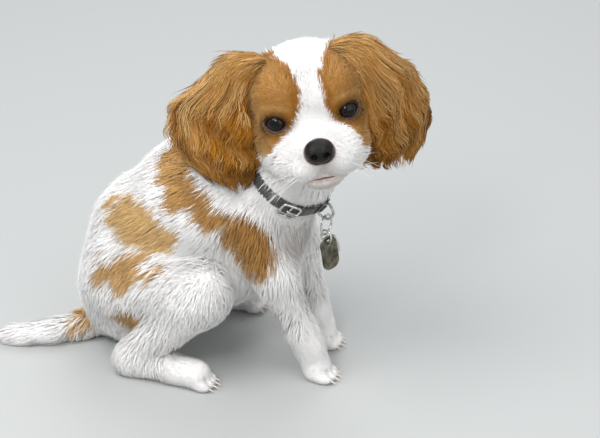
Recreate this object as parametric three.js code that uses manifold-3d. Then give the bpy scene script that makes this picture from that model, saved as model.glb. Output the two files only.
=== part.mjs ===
// A cavalier king charles spaniel puppy that sits on the floor and turns its head to its right, life size.
// Millimetres, +Z up, +X the way the chest faces, +Y the puppy's left. The floor is z = 0.
import * as THREE from "three";
import { mergeVertices } from "three/addons/utils/BufferGeometryUtils.js";
import Module from "manifold-3d";

const wasm = await Module();
wasm.setup();

const GAP = 0.3; // between two neighbouring pieces
const WELD = 0.01; // corners nearer than this are one
const RIGHT = -1;
const LEFT = 1;
const SIDES = [RIGHT, LEFT];
const v3 = (x, y, z) => new THREE.Vector3(x, y, z);
const sideName = (side) => (side === RIGHT ? "right" : "left");
const radians = THREE.MathUtils.degToRad;

// Driving dimensions of the trunk: places inside the body, and its radius there with the coat.
const RUMP = { at: v3(-62, 0, 42.5), r: 45 };
const LOIN = { at: v3(-50, 0, 80), r: 42 };
const RIBS = { at: v3(-14, 0, 112), r: 42 };
const WITHERS = { at: v3(-4, 0, 134), r: 31 };
const BRISKET = { at: v3(27, 0, 110), r: 33 };
const CHEST_LOW = { at: v3(22, 0, 82), r: 29 };
const BELLY = { at: v3(-12, 0, 70), r: 38 };
const NECK_BASE = { at: v3(10, 0, 128), r: 35 };
const NECK_MID = { at: v3(44, -8.5, 142.5), r: 29.5 };
const THROAT = { at: v3(58, -18, 170), r: 27 };

// Legs, given for the left side. The left fore foot stands a little behind the right one.
const HIP = { at: v3(-60, 26, 60), r: 33 };
const KNEE = { at: v3(-5, 47, 64), r: 21 };
const HOCK = { at: v3(-54, 50, 9.5), r: 11.5 };
const HIND_PAW = { at: v3(-6, 55, 8.5), r: 10.5 };
const SHOULDER = { at: v3(20, 24, 112), r: 24 };
const ELBOW = { at: v3(41, 28, 76), r: 15 };
const WRIST = { at: v3(62, 23, 26), r: 9.5 };
const FORE_PAW = { at: v3(68, 22, 7.5), r: 10.5 };
const LEFT_FORE_STEP = -9;

const TOE = { reach: 8, spread: 14, r: v3(6.5, 3.6, 4.2) };
const CLAW = { length: 5, r: 1.1 };

// The tail leaves the rump low and lies on the floor.
const TAIL = [
  { at: v3(-82, -4, 16), r: 12 },
  { at: v3(-103, -17, 9), r: 10.5 },
  { at: v3(-119, -29, 7.4), r: 9 },
  { at: v3(-136, -36, 6), r: 7.6 },
  { at: v3(-151, -39, 4), r: 5.6 },
];

// The ruff on the chest: rows of locks below the collar, and the fringe of the tail.
const RUFF = { rows: [-12, -24, -38], count: 5, spread: 95, length: 33, width: 16, thick: 4.4 };
const FRINGE = { count: 4, length: 19, width: 8, thick: 2.4 };

// The head in its own frame: +X to the nose, +Y the puppy's left, origin in the middle of the skull.
const HEAD = { at: v3(62.3, -21, 192.6), turn: -69, pitch: 8, roll: 9.7 };
const EYE = { at: v3(20.5, 21, 4), r: 8.6, outward: 16, upward: 4, width: 13.4, height: 10.4 };
const LID = { thick: 1.7, lift: 5.4 };
const NOSE = { at: v3(54, 0, -9.5), r: v3(8, 9, 8) };
const NOSTRIL = { at: v3(7, 4.6, -1), r: v3(3.4, 2.3, 2.1) };
const MUZZLE_CORE = { x: 30, z: -20 };
const MOUTH = [[18, -27, -32], [32, -22, -34], [46, -12, -31], [54, 0, -27]]; // from the corner to the middle
const MOUTH_GROOVE = 1.1;

// Edges of the ears in the frame of the head, from the root down to the tip.
const EARS = {
  right: {
    inner: [v3(-8, -16, 33), v3(-2, -33, 22), v3(1, -40, -4), v3(-2, -44, -26), v3(-8, -53, -43)],
    outer: [v3(-10, -26, 46), v3(-17, -56, 40), v3(-27, -88, 13), v3(-20, -83, -17), v3(-8, -64, -40)],
  },
  left: {
    inner: [v3(-6, 16, 32), v3(7, 31, 19), v3(13, 36, -9), v3(10, 38, -30), v3(0, 43, -45)],
    outer: [v3(-12, 24, 45), v3(-17, 50, 35), v3(-24, 71, 8), v3(-24, 72, -22), v3(-10, 59, -46)],
  },
};
const EAR_LEATHER = { thick: 6, across: 0.72, down: 0.52 }; // how far the flesh goes, of the whole ear
const EAR_LOCK = { width: 12.5, thick: 4.2, wave: 0.04, rise: 2.6 };
// Rows of locks on an ear: face out or in, how many, and how far down the ear they start and end.
const EAR_ROWS = [
  { face: 1, count: 4, from: 0.02, to: 0.48 },
  { face: 1, count: 5, from: 0.2, to: 0.76 },
  { face: 1, count: 5, from: 0.42, to: 1 },
  { face: -1, count: 3, from: 0.08, to: 0.62 },
  { face: -1, count: 3, from: 0.36, to: 0.92 },
];
const EAR_CUP = 6; // how far the middle of the ear stands out from the line between its edges

// The collar: `turn` runs round it from the front, towards the puppy's left, in degrees.
const COLLAR = {
  at: v3(45, -8, 143),
  axis: v3(0.65, -0.25, 0.82).normalize(),
  r: 30.6,
  wide: 10,
  thick: 2.4,
};
const BUCKLE = { wide: 13, long: 14, bar: 1.6, thick: 1.8, turn: -72 };
const D_RING = { wide: 12, deep: 8, wire: 0.9, turn: -20 };
const TAG_RING = { r: 6.6, wire: 0.9, facing: -14 };
const SMALL_RING = { r: 4.2, wire: 0.7, facing: 65 };
const TAG_FACING = -35;
const TAG_HOLE = { r: 2, from: 3.2 };
const DARK_TAG = { wide: 13, long: 24, thick: 1.4, corner: 5.5, aside: 1 };
const PALE_TAG = { wide: 14, long: 19, thick: 1.2, corner: 6, aside: -1 };

// Frames: the head, and the collar with its own +Z along the neck and +X to the front.
const frameOfHead = new THREE.Matrix4().compose(
  HEAD.at,
  new THREE.Quaternion().setFromEuler(
    new THREE.Euler(radians(HEAD.roll), radians(-HEAD.pitch), radians(HEAD.turn), "ZYX"),
  ),
  v3(1, 1, 1),
);
const toHead = frameOfHead.clone().invert();
const frontOfCollar = v3(1, 0, 0).addScaledVector(COLLAR.axis, -COLLAR.axis.x).normalize();
const frameOfCollar = new THREE.Matrix4()
  .makeBasis(frontOfCollar, COLLAR.axis.clone().cross(frontOfCollar), COLLAR.axis)
  .setPosition(COLLAR.at);
const inWorld = new THREE.Matrix4();

// Soft bodies as fields: a field gives the distance from a point to the surface, negative inside.
const ball = (at, r) => (p) => p.distanceTo(at) - r;
function bone(a, b) {
  const along = b.at.clone().sub(a.at);
  const lengthSq = along.lengthSq();
  const q = v3(0, 0, 0);
  return (p) => {
    const t = THREE.MathUtils.clamp(q.subVectors(p, a.at).dot(along) / lengthSq, 0, 1);
    return q.addScaledVector(along, -t).length() - (a.r + t * (b.r - a.r));
  };
}
const chain = (places) => places.slice(1).map((place, i) => bone(places[i], place));
function egg(at, radii) {
  const q = v3(0, 0, 0);
  return (p) => {
    const near = q.subVectors(p, at).divide(radii).length();
    return (near * (near - 1)) / Math.max(q.divide(radii).length(), 1e-6);
  };
}
function blend(reach, ...fields) {
  return (p) =>
    fields.reduce((least, field) => {
      const next = field(p);
      const h = Math.max(reach - Math.abs(least - next), 0) / reach;
      return Math.min(least, next) - (h * h * reach) / 4;
    }, 1e3);
}
const mirrored = (field) => {
  const q = v3(0, 0, 0);
  return (p) => field(q.set(p.x, Math.abs(p.y), p.z));
};
const grown = (field, by) => (p) => field(p) - by;
function slope(field, p) {
  const step = 0.5;
  const rise = (x, y, z) => field(v3(p.x + x, p.y + y, p.z + z)) - field(v3(p.x - x, p.y - y, p.z - z));
  return v3(rise(step, 0, 0), rise(0, step, 0), rise(0, 0, step)).normalize();
}
function surfaceFrom(field, inside, direction) {
  const p = inside.clone();
  while (field(p) < -0.05) p.addScaledVector(direction, Math.max(-0.7 * field(p), 0.1));
  return p;
}

// The body without its head. Each fore foot has its own step.
const trunk = blend(
  16,
  ...chain([RUMP, LOIN, RIBS, BRISKET]),
  bone(RIBS, WITHERS),
  ball(CHEST_LOW.at, CHEST_LOW.r),
  ball(BELLY.at, BELLY.r),
);
const neckField = blend(10, ...chain([NECK_BASE, NECK_MID, THROAT]));
const hindLegs = mirrored(blend(8, ...chain([HIP, KNEE, HOCK, HIND_PAW])));
const foreStep = (side) => (side === LEFT ? LEFT_FORE_STEP : 0);
function onSide(place, side, step = 0) {
  return { at: v3(place.at.x + step, side * place.at.y, place.at.z), r: place.r };
}
const foreLeg = (side) => {
  const step = foreStep(side);
  const places = [
    onSide(SHOULDER, side),
    onSide(ELBOW, side, step / 3),
    onSide(WRIST, side, step),
    onSide(FORE_PAW, side, step),
  ];
  return blend(8, ...chain(places));
};

// The head in its own frame.
const skull = blend(
  10,
  egg(v3(-8, 0, 9), v3(41, 36, 35.5)),
  egg(v3(12, 15, 17), v3(19, 17, 18)),
  egg(v3(4, 21, -12), v3(25, 16, 21)),
);
const muzzle = blend(
  8,
  egg(v3(35, 0, -12), v3(22, 16, 12)),
  egg(v3(38, 11, -20), v3(17, 13, 12)),
  egg(v3(25, 17, -20), v3(18, 15, 14)),
  egg(v3(30, 0, -31), v3(22, 14, 9)),
);
const headLocal = mirrored(blend(9, skull, muzzle));
const headPoint = v3(0, 0, 0);
const headField = (p) => headLocal(headPoint.copy(p).applyMatrix4(toHead));

const tailField = blend(5, ...chain(TAIL));
const body = blend(12, trunk, hindLegs, foreLeg(RIGHT), foreLeg(LEFT), neckField, headField, tailField);

// Turns a field into a closed mesh, sampled every `cell` in the given frame between two corners.
function sampled(field, frame, low, high, cell) {
  const n = high.clone().sub(low).divideScalar(cell).ceil().addScalar(1);
  const at = (i, j, k) => (k * n.y + j) * n.x + i;
  const cornerOf = (i, j, k) => v3(low.x + i * cell, low.y + j * cell, low.z + k * cell);
  const samples = new Float32Array(n.x * n.y * n.z);
  for (let k = 0; k < n.z; k++)
    for (let j = 0; j < n.y; j++)
      for (let i = 0; i < n.x; i++) {
        const onRim = Math.min(i, j, k, n.x - 1 - i, n.y - 1 - j, n.z - 1 - k) < 1;
        const depth = field(cornerOf(i, j, k).applyMatrix4(frame));
        samples[at(i, j, k)] = onRim ? Math.max(depth, 0.01 * cell) : depth;
      }
  return { n, at, cornerOf, samples };
}
function netOf({ n, at, cornerOf, samples }, frame) {
  const vertexOf = new Map();
  const positions = [];
  const axes = [[1, 0, 0], [0, 1, 0], [0, 0, 1]];
  function vertex(i, j, k) {
    const key = at(i, j, k);
    if (!vertexOf.has(key)) {
      const sum = v3(0, 0, 0);
      let crossings = 0;
      axes.forEach(([dx, dy, dz], axis) => {
        for (const [a, b] of [[0, 0], [0, 1], [1, 0], [1, 1]]) {
          const [x, y, z] = [[i, j + a, k + b], [i + a, j, k + b], [i + a, j + b, k]][axis];
          const from = samples[at(x, y, z)];
          const to = samples[at(x + dx, y + dy, z + dz)];
          if (from < 0 === to < 0) continue;
          const t = from / (from - to);
          sum.add(cornerOf(x + t * dx, y + t * dy, z + t * dz));
          crossings++;
        }
      });
      vertexOf.set(key, positions.length / 3);
      positions.push(...sum.divideScalar(crossings).applyMatrix4(frame).toArray());
    }
    return vertexOf.get(key);
  }
  const triangles = [];
  for (let k = 0; k < n.z - 1; k++)
    for (let j = 0; j < n.y - 1; j++)
      for (let i = 0; i < n.x - 1; i++)
        axes.forEach(([dx, dy, dz], axis) => {
          const inside = samples[at(i, j, k)] < 0;
          if (inside === samples[at(i + dx, j + dy, k + dz)] < 0) return;
          const ring = [[0, 0], [1, 0], [1, 1], [0, 1]].map(([a, b]) => {
            const [x, y, z] = [[i, j - a, k - b], [i - b, j, k - a], [i - a, j - b, k]][axis];
            return vertex(x, y, z);
          });
          if (!inside) ring.reverse();
          triangles.push(ring[0], ring[1], ring[2], ring[0], ring[2], ring[3]);
        });
  return { positions, triangles };
}
const grid = { shift: 0 }; // in cells
function meshOf(field, frame, low, high, cell) {
  const start = low.clone().addScalar(-grid.shift * cell);
  const { positions, triangles } = netOf(sampled(field, frame, start, high, cell), frame);
  return new THREE.BufferGeometry()
    .setAttribute("position", new THREE.Float32BufferAttribute(positions, 3))
    .setIndex(triangles);
}

// Rings of points joined into a closed tube, with flat ends, a pointed end, or its end joined to its start.
function loft(rings, { tip = null, endless = false } = {}) {
  const around = rings[0].length;
  const corners = rings.flat();
  const triangles = [];
  const spans = endless ? rings.length : rings.length - 1;
  for (let s = 0; s < spans; s++)
    for (let k = 0; k < around; k++) {
      const next = (s + 1) % rings.length;
      const [a, b] = [s * around + k, s * around + ((k + 1) % around)];
      const [c, d] = [next * around + ((k + 1) % around), next * around + k];
      triangles.push(a, b, c, a, c, d);
    }
  const last = (rings.length - 1) * around;
  if (!endless) for (let k = 1; k + 1 < around; k++) triangles.push(0, k + 1, k);
  if (tip) {
    corners.push(tip);
    for (let k = 0; k < around; k++) triangles.push(last + k, last + ((k + 1) % around), corners.length - 1);
  } else if (!endless) {
    for (let k = 1; k + 1 < around; k++) triangles.push(last, last + k, last + k + 1);
  }
  return new THREE.BufferGeometry()
    .setAttribute("position", new THREE.Float32BufferAttribute(corners.flatMap((p) => p.toArray()), 3))
    .setIndex(triangles);
}
function ringAround(at, along, r, sides, start = v3(0, 0, 1)) {
  const across = along.clone().cross(start).normalize();
  const up = across.clone().cross(along).normalize();
  return Array.from({ length: sides }, (_, k) => {
    const turn = (2 * Math.PI * k) / sides;
    return at.clone().addScaledVector(across, r * Math.cos(turn)).addScaledVector(up, r * Math.sin(turn));
  });
}
// A closed loop of wire along a closed curve.
function hoop(curve, r, steps, sides, start) {
  const rings = Array.from({ length: steps }, (_, s) =>
    ringAround(curve.getPointAt(s / steps), curve.getTangentAt(s / steps), r, sides, start),
  );
  return loft(rings, { endless: true });
}

// Solids, joined and cut.
function volumeOf(position, index) {
  let sum = 0;
  const [a, b, c] = [v3(0, 0, 0), v3(0, 0, 0), v3(0, 0, 0)];
  for (let i = 0; i < index.count; i += 3) {
    [a, b, c].forEach((corner, k) => corner.fromBufferAttribute(position, index.getX(i + k)));
    sum += a.dot(b.cross(c));
  }
  return sum / 6;
}
function solidOf(geometry) {
  const bare = geometry.clone();
  bare.deleteAttribute("normal");
  bare.deleteAttribute("uv");
  const { attributes, index } = mergeVertices(bare, 1e-4);
  const triVerts = new Uint32Array(index.array);
  if (volumeOf(attributes.position, index) < 0) triVerts.reverse();
  const vertProperties = new Float32Array(attributes.position.array);
  return new wasm.Manifold(new wasm.Mesh({ numProp: 3, vertProperties, triVerts }));
}
// Cuts leave corners a hair apart: they are welded, and the faces between them dropped.
function geometryOf(solid) {
  const { vertProperties, triVerts } = solid.getMesh();
  const cut = new THREE.BufferGeometry()
    .setAttribute("position", new THREE.BufferAttribute(vertProperties, 3))
    .setIndex(new THREE.BufferAttribute(triVerts, 1));
  const welded = mergeVertices(cut, WELD);
  const corners = Array.from(welded.index.array);
  const faces = [];
  for (let i = 0; i < corners.length; i += 3) {
    const [a, b, c] = corners.slice(i, i + 3);
    if (a !== b && b !== c && c !== a) faces.push(a, b, c);
  }
  return welded.setIndex(faces);
}
// Where two folds of a surface pass through one cell they share an edge, so the grid is moved a little.
function sharesAnEdge(corners) {
  const edges = new Set();
  return corners.some((from, i) => {
    const edge = `${from} ${corners[i % 3 === 2 ? i - 2 : i + 1]}`;
    const seen = edges.has(edge);
    edges.add(edge);
    return seen;
  });
}
function clean(build) {
  for (grid.shift = 0; grid.shift < 1; grid.shift += 0.07) {
    const geometry = geometryOf(build());
    if (!sharesAnEdge(Array.from(geometry.index.array))) return geometry;
  }
  throw new Error("no grid gives this piece a clean mesh");
}
const largest = (solid) =>
  solid.decompose().reduce((most, piece) => (piece.volume() > most.volume() ? piece : most));
const joined = (solids) => solids.reduce((sum, solid) => sum.add(solid));
const cutBy = (solid, cutters) => cutters.reduce((rest, cutter) => rest.subtract(cutter), solid);
function block(low, high, frame = inWorld) {
  const size = high.clone().sub(low);
  const box = new THREE.BoxGeometry(size.x, size.y, size.z);
  box.translate(low.x + size.x / 2, low.y + size.y / 2, low.z + size.z / 2);
  return solidOf(box.applyMatrix4(frame));
}

// The body is modelled whole, and parted by flat cuts: two across the neck, and a block round each leg.
const FAR = 400;
const NECK_CUTS = { low: -9, high: 25 }; // along the collar's axis, from its middle
const WAIST = { at: v3(-22, 0, 90), lean: -12 }; // the cut between the chest and the rear of the trunk
const HAUNCH = { back: -140, front: 18, inner: 20, top: 88 };
const FORELEG = { back: -17, front: 34, halfWidth: 17, length: 120 }; // about the line of the forearm
const CELLS = { torso: 12.4, neck: 11, hindLeg: 9.8, foreLeg: 7.4, head: 6.6, nose: 3, tail: 6.3 };

const COARSE = 0.6; // how far a coarse mesh may stray from another one

const between = (low, high, frame) => block(v3(-FAR, -FAR, low), v3(FAR, FAR, high), frame);
const floorUp = between(0, FAR);
function haunchBlock(side, gap = 0) {
  const [inner, outer] = [side * (HAUNCH.inner - gap), side * 100];
  return block(
    v3(HAUNCH.back, Math.min(inner, outer), -20),
    v3(HAUNCH.front + gap, Math.max(inner, outer), HAUNCH.top + gap),
  );
}
function foreLegBlock(side, gap = 0) {
  const elbow = onSide(ELBOW, side, foreStep(side) / 3).at;
  const up = elbow.clone().sub(onSide(WRIST, side, foreStep(side)).at).normalize();
  const left = up.clone().cross(v3(1, 0, 0)).normalize();
  const frame = new THREE.Matrix4().makeBasis(left.clone().cross(up), left, up).setPosition(elbow);
  return block(
    v3(FORELEG.back - gap, -FORELEG.halfWidth - gap, -FORELEG.length),
    v3(FORELEG.front, FORELEG.halfWidth + gap, gap),
    frame,
  );
}
// The tail is parted square to its own line, where it leaves the rump.
function tailBlock(gap = 0) {
  const [from, to] = [TAIL[1].at, TAIL[2].at];
  const along = to.clone().sub(from).normalize();
  const aside = v3(0, 0, 1).cross(along).normalize();
  const frame = new THREE.Matrix4().makeBasis(aside, along.clone().cross(aside), along).setPosition(from);
  return block(v3(-26, -26, -gap), v3(26, 26, 80), frame);
}
const fleshOf = (cell, low, high, frame = inWorld, more = 0) =>
  solidOf(meshOf(grown(body, more), frame, low, high, cell));

// Collar, buckle, rings and tags.
const collarTurn = (degrees) => v3(Math.cos(radians(degrees)), Math.sin(radians(degrees)), 0);
function collarRing(profile) {
  const ring = new THREE.LatheGeometry([...profile, profile[0]].map(([x, y]) => new THREE.Vector2(x, y)), 28);
  return solidOf(ring.rotateX(Math.PI / 2).applyMatrix4(frameOfCollar));
}
function band() {
  const [inner, outer, half] = [COLLAR.r - COLLAR.thick, COLLAR.r, COLLAR.wide / 2];
  return collarRing([[inner, -half], [outer, -half], [outer, half], [inner, half]]);
}
// The coat is pressed in under the band, and slopes back out on both sides of it.
function collarGroove() {
  const [inner, half] = [COLLAR.r - COLLAR.thick - GAP, COLLAR.wide / 2 + GAP];
  const [middle, outer] = [COLLAR.r, COLLAR.r + 8];
  const [wider, widest] = [half + 2.2, half + 7];
  return collarRing([
    [inner, -half], [middle, -wider], [outer, -widest], [outer, widest], [middle, wider], [inner, half],
  ]);
}
// A frame on the band's outside: +X along the band, +Y up the neck, +Z outwards.
function onBand(degrees, lift) {
  const out = collarTurn(degrees);
  const frame = new THREE.Matrix4().makeBasis(v3(-out.y, out.x, 0), v3(0, 0, 1), out);
  return frame.setPosition(out.multiplyScalar(COLLAR.r + lift)).premultiply(frameOfCollar);
}
function roundedPlate(wide, long, corner, thick) {
  const [x, y] = [wide / 2 - corner, long / 2 - corner];
  const shape = new THREE.Shape();
  [[x, y], [-x, y], [-x, -y], [x, -y]].forEach(([cx, cy], quarter) =>
    shape.absarc(cx, cy, corner, (quarter * Math.PI) / 2, ((quarter + 1) * Math.PI) / 2),
  );
  const plate = new THREE.ExtrudeGeometry(shape, { depth: thick, bevelEnabled: false, curveSegments: 4 });
  return plate.translate(0, 0, -thick / 2);
}
function buckle() {
  const { long, wide, bar, thick, turn } = BUCKLE;
  const frame = onBand(turn, thick / 2 + 2 * GAP);
  const plate = solidOf(roundedPlate(long, wide, 2, thick).applyMatrix4(frame));
  const windows = [-1, 1].map((end) => {
    const [from, to] = [(end * bar) / 2, end * (long / 2 - bar)];
    const half = wide / 2 - bar;
    return block(v3(Math.min(from, to), -half, -thick), v3(Math.max(from, to), half, thick), frame);
  });
  return cutBy(plate, windows);
}
const D_OUTLINE = [[0, -0.4], [0, 0.4], [0.35, 0.5], [0.95, 0.25], [0.95, -0.25], [0.35, -0.5]];
const dCurve = new THREE.CatmullRomCurve3(
  D_OUTLINE.map(([z, y]) => v3(0, y * D_RING.wide, z * D_RING.deep)),
  true,
);
const frameOfD = onBand(D_RING.turn, D_RING.wire + GAP);
function dRing(more = 0) {
  const ring = hoop(dCurve, D_RING.wire + more, 18, 5, v3(1, 0, 0));
  return solidOf(ring.applyMatrix4(frameOfD));
}
function collar() {
  const { turn, wire } = D_RING;
  const top = 2 * wire + 2 * GAP + 1;
  const keeper = block(v3(-3, -3, -1), v3(3, 3, top), onBand(turn, 0));
  return largest(band().add(keeper).subtract(dRing(GAP)));
}

// Below the D ring everything hangs straight down. Each ring stands above the wire that it hangs on.
const upright = (at, facing) => {
  const [z, x] = [v3(0, 0, 1), v3(Math.cos(radians(facing)), Math.sin(radians(facing)), 0)];
  return new THREE.Matrix4().makeBasis(x, z.clone().cross(x), z).setPosition(at);
};
const lowestOfD = dCurve
  .getSpacedPoints(60)
  .map((p) => p.applyMatrix4(frameOfD))
  .reduce((low, p) => (p.z < low.z ? p : low));
const tagRingAt = lowestOfD.clone();
tagRingAt.z += D_RING.wire + TAG_RING.wire + 2 * GAP - TAG_RING.r;
const smallRingAt = tagRingAt.clone();
smallRingAt.z += TAG_RING.wire + SMALL_RING.wire + 2 * GAP - TAG_RING.r - SMALL_RING.r;
function ringAt(at, { r, wire, facing }) {
  const corners = Array.from({ length: 12 }, (_, i) => {
    const turn = (i * Math.PI) / 6;
    return v3(0, r * Math.cos(turn), r * Math.sin(turn));
  });
  const circle = new THREE.CatmullRomCurve3(corners, true);
  return solidOf(hoop(circle, wire, 18, 5, v3(1, 0, 0)).applyMatrix4(upright(at, facing)));
}
function tag({ wide, long, thick, corner, aside }) {
  const hanging = new THREE.Matrix4().makeBasis(v3(0, 1, 0), v3(0, 0, 1), v3(1, 0, 0));
  hanging.setPosition(aside, 0, TAG_HOLE.from - long / 2 - SMALL_RING.r);
  hanging.premultiply(upright(smallRingAt, TAG_FACING));
  const hole = new THREE.CylinderGeometry(TAG_HOLE.r, TAG_HOLE.r, 3 * thick, 10).rotateX(Math.PI / 2);
  hole.translate(0, long / 2 - TAG_HOLE.from, 0);
  const plate = solidOf(roundedPlate(wide, long, corner, thick).applyMatrix4(hanging));
  return plate.subtract(solidOf(hole.applyMatrix4(hanging)));
}

// Eyes, lids, nose and mouth, in the frame of the head.
function gazeOf(side) {
  const turn = new THREE.Euler(0, -radians(EYE.upward), side * radians(EYE.outward), "ZYX");
  const at = v3(EYE.at.x, side * EYE.at.y, EYE.at.z);
  return new THREE.Matrix4().makeRotationFromEuler(turn).setPosition(at).premultiply(frameOfHead);
}
function eyeball(side, more = 0) {
  const ball = new THREE.SphereGeometry(EYE.r + more, 12, 8);
  return solidOf(ball.rotateZ(-Math.PI / 2).applyMatrix4(gazeOf(side)));
}
function lidRing(side) {
  const ring = new THREE.TorusGeometry(1, LID.thick / (EYE.height / 2), 5, 16).rotateY(Math.PI / 2);
  ring.scale(EYE.height / 2, EYE.width / 2 + LID.thick / 2, EYE.height / 2 + LID.thick / 2);
  return solidOf(ring.translate(LID.lift, 0, 0).applyMatrix4(gazeOf(side)));
}
function eyeOpening(side) {
  const hollow = new THREE.SphereGeometry(1, 12, 8).rotateZ(-Math.PI / 2);
  hollow.scale(EYE.r, EYE.width / 2, EYE.height / 2);
  return solidOf(hollow.translate(EYE.r, 0, 0).applyMatrix4(gazeOf(side)));
}
const noseField = mirrored((p) => {
  const q = p.clone().sub(NOSE.at);
  const wing = egg(v3(1, 4.6, -1.5), v3(6.5, 4.6, 5))(q);
  const pad = blend(3, egg(v3(0, 0, 0), NOSE.r), () => wing)(q);
  return Math.max(pad, -egg(NOSTRIL.at, NOSTRIL.r)(q));
});
function nosePad(more = 0) {
  const [low, high] = [NOSE.at.clone().addScalar(-13), NOSE.at.clone().addScalar(13)];
  return solidOf(meshOf(grown(noseField, more), inWorld, low, high, CELLS.nose).applyMatrix4(frameOfHead));
}
function mouthGrooves() {
  const onLips = (x, y, z) => {
    const from = v3(MUZZLE_CORE.x, 0, MUZZLE_CORE.z);
    return surfaceFrom(headLocal, from, v3(x, y, z).sub(from).normalize());
  };
  const oneSide = MOUTH.map(([x, y, z]) => onLips(x, y, z));
  const otherSide = oneSide.slice(0, -1).map((p) => v3(p.x, -p.y, p.z)).reverse();
  const lips = new THREE.CatmullRomCurve3([...oneSide, ...otherSide]);
  const middle = oneSide.at(-1);
  const philtrum = new THREE.CatmullRomCurve3([middle, onLips(60, 0, -20), v3(NOSE.at.x, 0, NOSE.at.z)]);
  return [[lips, 20], [philtrum, 5]].map(([curve, steps]) => {
    const rings = Array.from({ length: steps + 1 }, (_, i) =>
      ringAround(curve.getPointAt(i / steps), curve.getTangentAt(i / steps), MOUTH_GROOVE, 5, v3(1, 0, 0.3)),
    );
    return solidOf(loft(rings).applyMatrix4(frameOfHead));
  });
}
const HEAD_BOX = [v3(-60, -50, -66), v3(66, 50, 58)];
function headSolid() {
  const flesh = fleshOf(CELLS.head, ...HEAD_BOX, frameOfHead);
  const lids = SIDES.map(lidRing);
  const hollows = [...SIDES.map(eyeOpening), ...SIDES.map((side) => eyeball(side, GAP + 0.05))];
  const cutters = [...hollows, nosePad(GAP + 0.15), ...mouthGrooves()];
  const upper = joined([flesh, ...lids]).intersect(between(NECK_CUTS.high + GAP, FAR, frameOfCollar));
  return largest(cutBy(upper, cutters));
}

// Locks of long hair. Each is a flat ribbon that is widest near its middle and drawn out to a point.
const LOCK_STEPS = 4;
const random = { state: 20 };
function draw(low, high) {
  random.state = (random.state * 16807) % 2147483647;
  return low + ((high - low) * random.state) / 2147483647;
}
function lock(path, outs, width, thick) {
  const rings = path.slice(0, -1).map((at, i) => {
    const t = i / (path.length - 1);
    const along = path[i + 1].clone().sub(path[Math.max(i - 1, 0)]).normalize();
    const across = along.clone().cross(outs[i]).normalize();
    const out = across.clone().cross(along);
    const half = (width / 2) * (0.5 + 0.5 * Math.sin(Math.PI * (0.15 + 0.75 * t)));
    const deep = (thick / 2) * (1 - 0.6 * t);
    return [[half, 0], [0, deep], [-half, 0], [0, -deep]].map(([a, b]) =>
      at.clone().addScaledVector(across, a).addScaledVector(out, b),
    );
  });
  return solidOf(loft(rings, { tip: path.at(-1) }));
}
// A lock combed over a field: it starts inside, comes out, and follows the surface along its lie.
function combedLock(field, root, lie, { length, width, thick }) {
  const step = length / LOCK_STEPS;
  const p = root.clone();
  const path = [];
  const outs = [];
  for (let i = 0; i <= LOCK_STEPS; i++) {
    const out = slope(field, p);
    const height = thick * (0.2 + 0.9 * Math.sin((Math.PI / 2) * Math.min(1, i / 2)) - (i === 0 ? 1.2 : 0));
    p.addScaledVector(out, height - field(p));
    path.push(p.clone());
    outs.push(out);
    const flat = lie(p).addScaledVector(out, -lie(p).dot(out)).normalize();
    p.addScaledVector(flat, step);
  }
  return lock(path, outs, width, thick);
}

// An ear is a sheet that hangs from the side of the head: u runs across it, t down it.
function earSheet(side) {
  const { inner, outer } = EARS[sideName(side)];
  const [near, far] = [inner, outer].map((edge) => new THREE.CatmullRomCurve3(edge));
  const flat = (u, t) => near.getPoint(t).lerp(far.getPoint(t), u);
  const facing = (u, t) => {
    const across = flat(1, t).sub(flat(0, t));
    const down = flat(u, Math.min(t + 0.02, 1)).sub(flat(u, Math.max(t - 0.02, 0)));
    return across.cross(down).multiplyScalar(-side).normalize();
  };
  const cup = (u) => EAR_CUP * Math.sin(Math.PI * THREE.MathUtils.clamp(u, 0, 1));
  const place = (u, t, lift = 0) => flat(u, t).addScaledVector(facing(u, t), lift + cup(u));
  return { place, facing };
}
function earLeather({ place }) {
  const [rows, around] = [7, 8];
  const { thick, across, down } = EAR_LEATHER;
  const rings = Array.from({ length: rows }, (_, row) => {
    const t = row / rows;
    const narrowing = Math.sqrt(1 - t ** 3);
    return Array.from({ length: around }, (_, k) => {
      const turn = (2 * Math.PI * k) / around;
      const u = across * (0.5 - 0.5 * narrowing * Math.cos(turn));
      return place(u, down * t, (thick / 2) * narrowing * Math.sin(turn));
    });
  });
  return solidOf(loft(rings, { tip: place(across / 2, down) }).applyMatrix4(frameOfHead));
}
// Locks fan out from the leather to the ear's whole outline. Each row hangs over the one below it.
function earLocks({ place, facing }) {
  return EAR_ROWS.flatMap(({ face, count, from, to }) =>
    Array.from({ length: count }, (_, i) => {
      const across = (i + 0.5) / count;
      const phase = draw(0, 2 * Math.PI);
      const drop = draw(-0.05, 0.02) * (to - from);
      const points = Array.from({ length: LOCK_STEPS + 1 }, (_, k) => {
        const s = k / LOCK_STEPS;
        const start = EAR_LEATHER.across * (0.1 + 0.8 * across);
        const end = 0.48 + 1.06 * (across - 0.5);
        const u = start + (end - start) * s + EAR_LOCK.wave * Math.sin(5 * s + phase);
        const t = from + (to - from + drop) * s;
        const lift = face * (EAR_LEATHER.thick / 4 + EAR_LOCK.rise * Math.sin(Math.PI * (0.75 * s - 0.05)));
        return { u, t, lift };
      });
      const path = points.map(({ u, t, lift }) => place(u, Math.min(t, 1), lift).applyMatrix4(frameOfHead));
      const outs = points.map(({ u, t }) => facing(u, Math.min(t, 1)).transformDirection(frameOfHead));
      return lock(path, outs, EAR_LOCK.width * draw(0.85, 1.15), EAR_LOCK.thick);
    }),
  );
}
function ear(side) {
  random.state = 20 + side;
  const sheet = earSheet(side);
  const nearby = fleshOf(CELLS.head, ...HEAD_BOX, frameOfHead, GAP + COARSE);
  return largest(joined([earLeather(sheet), ...earLocks(sheet)]).subtract(nearby));
}

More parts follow.
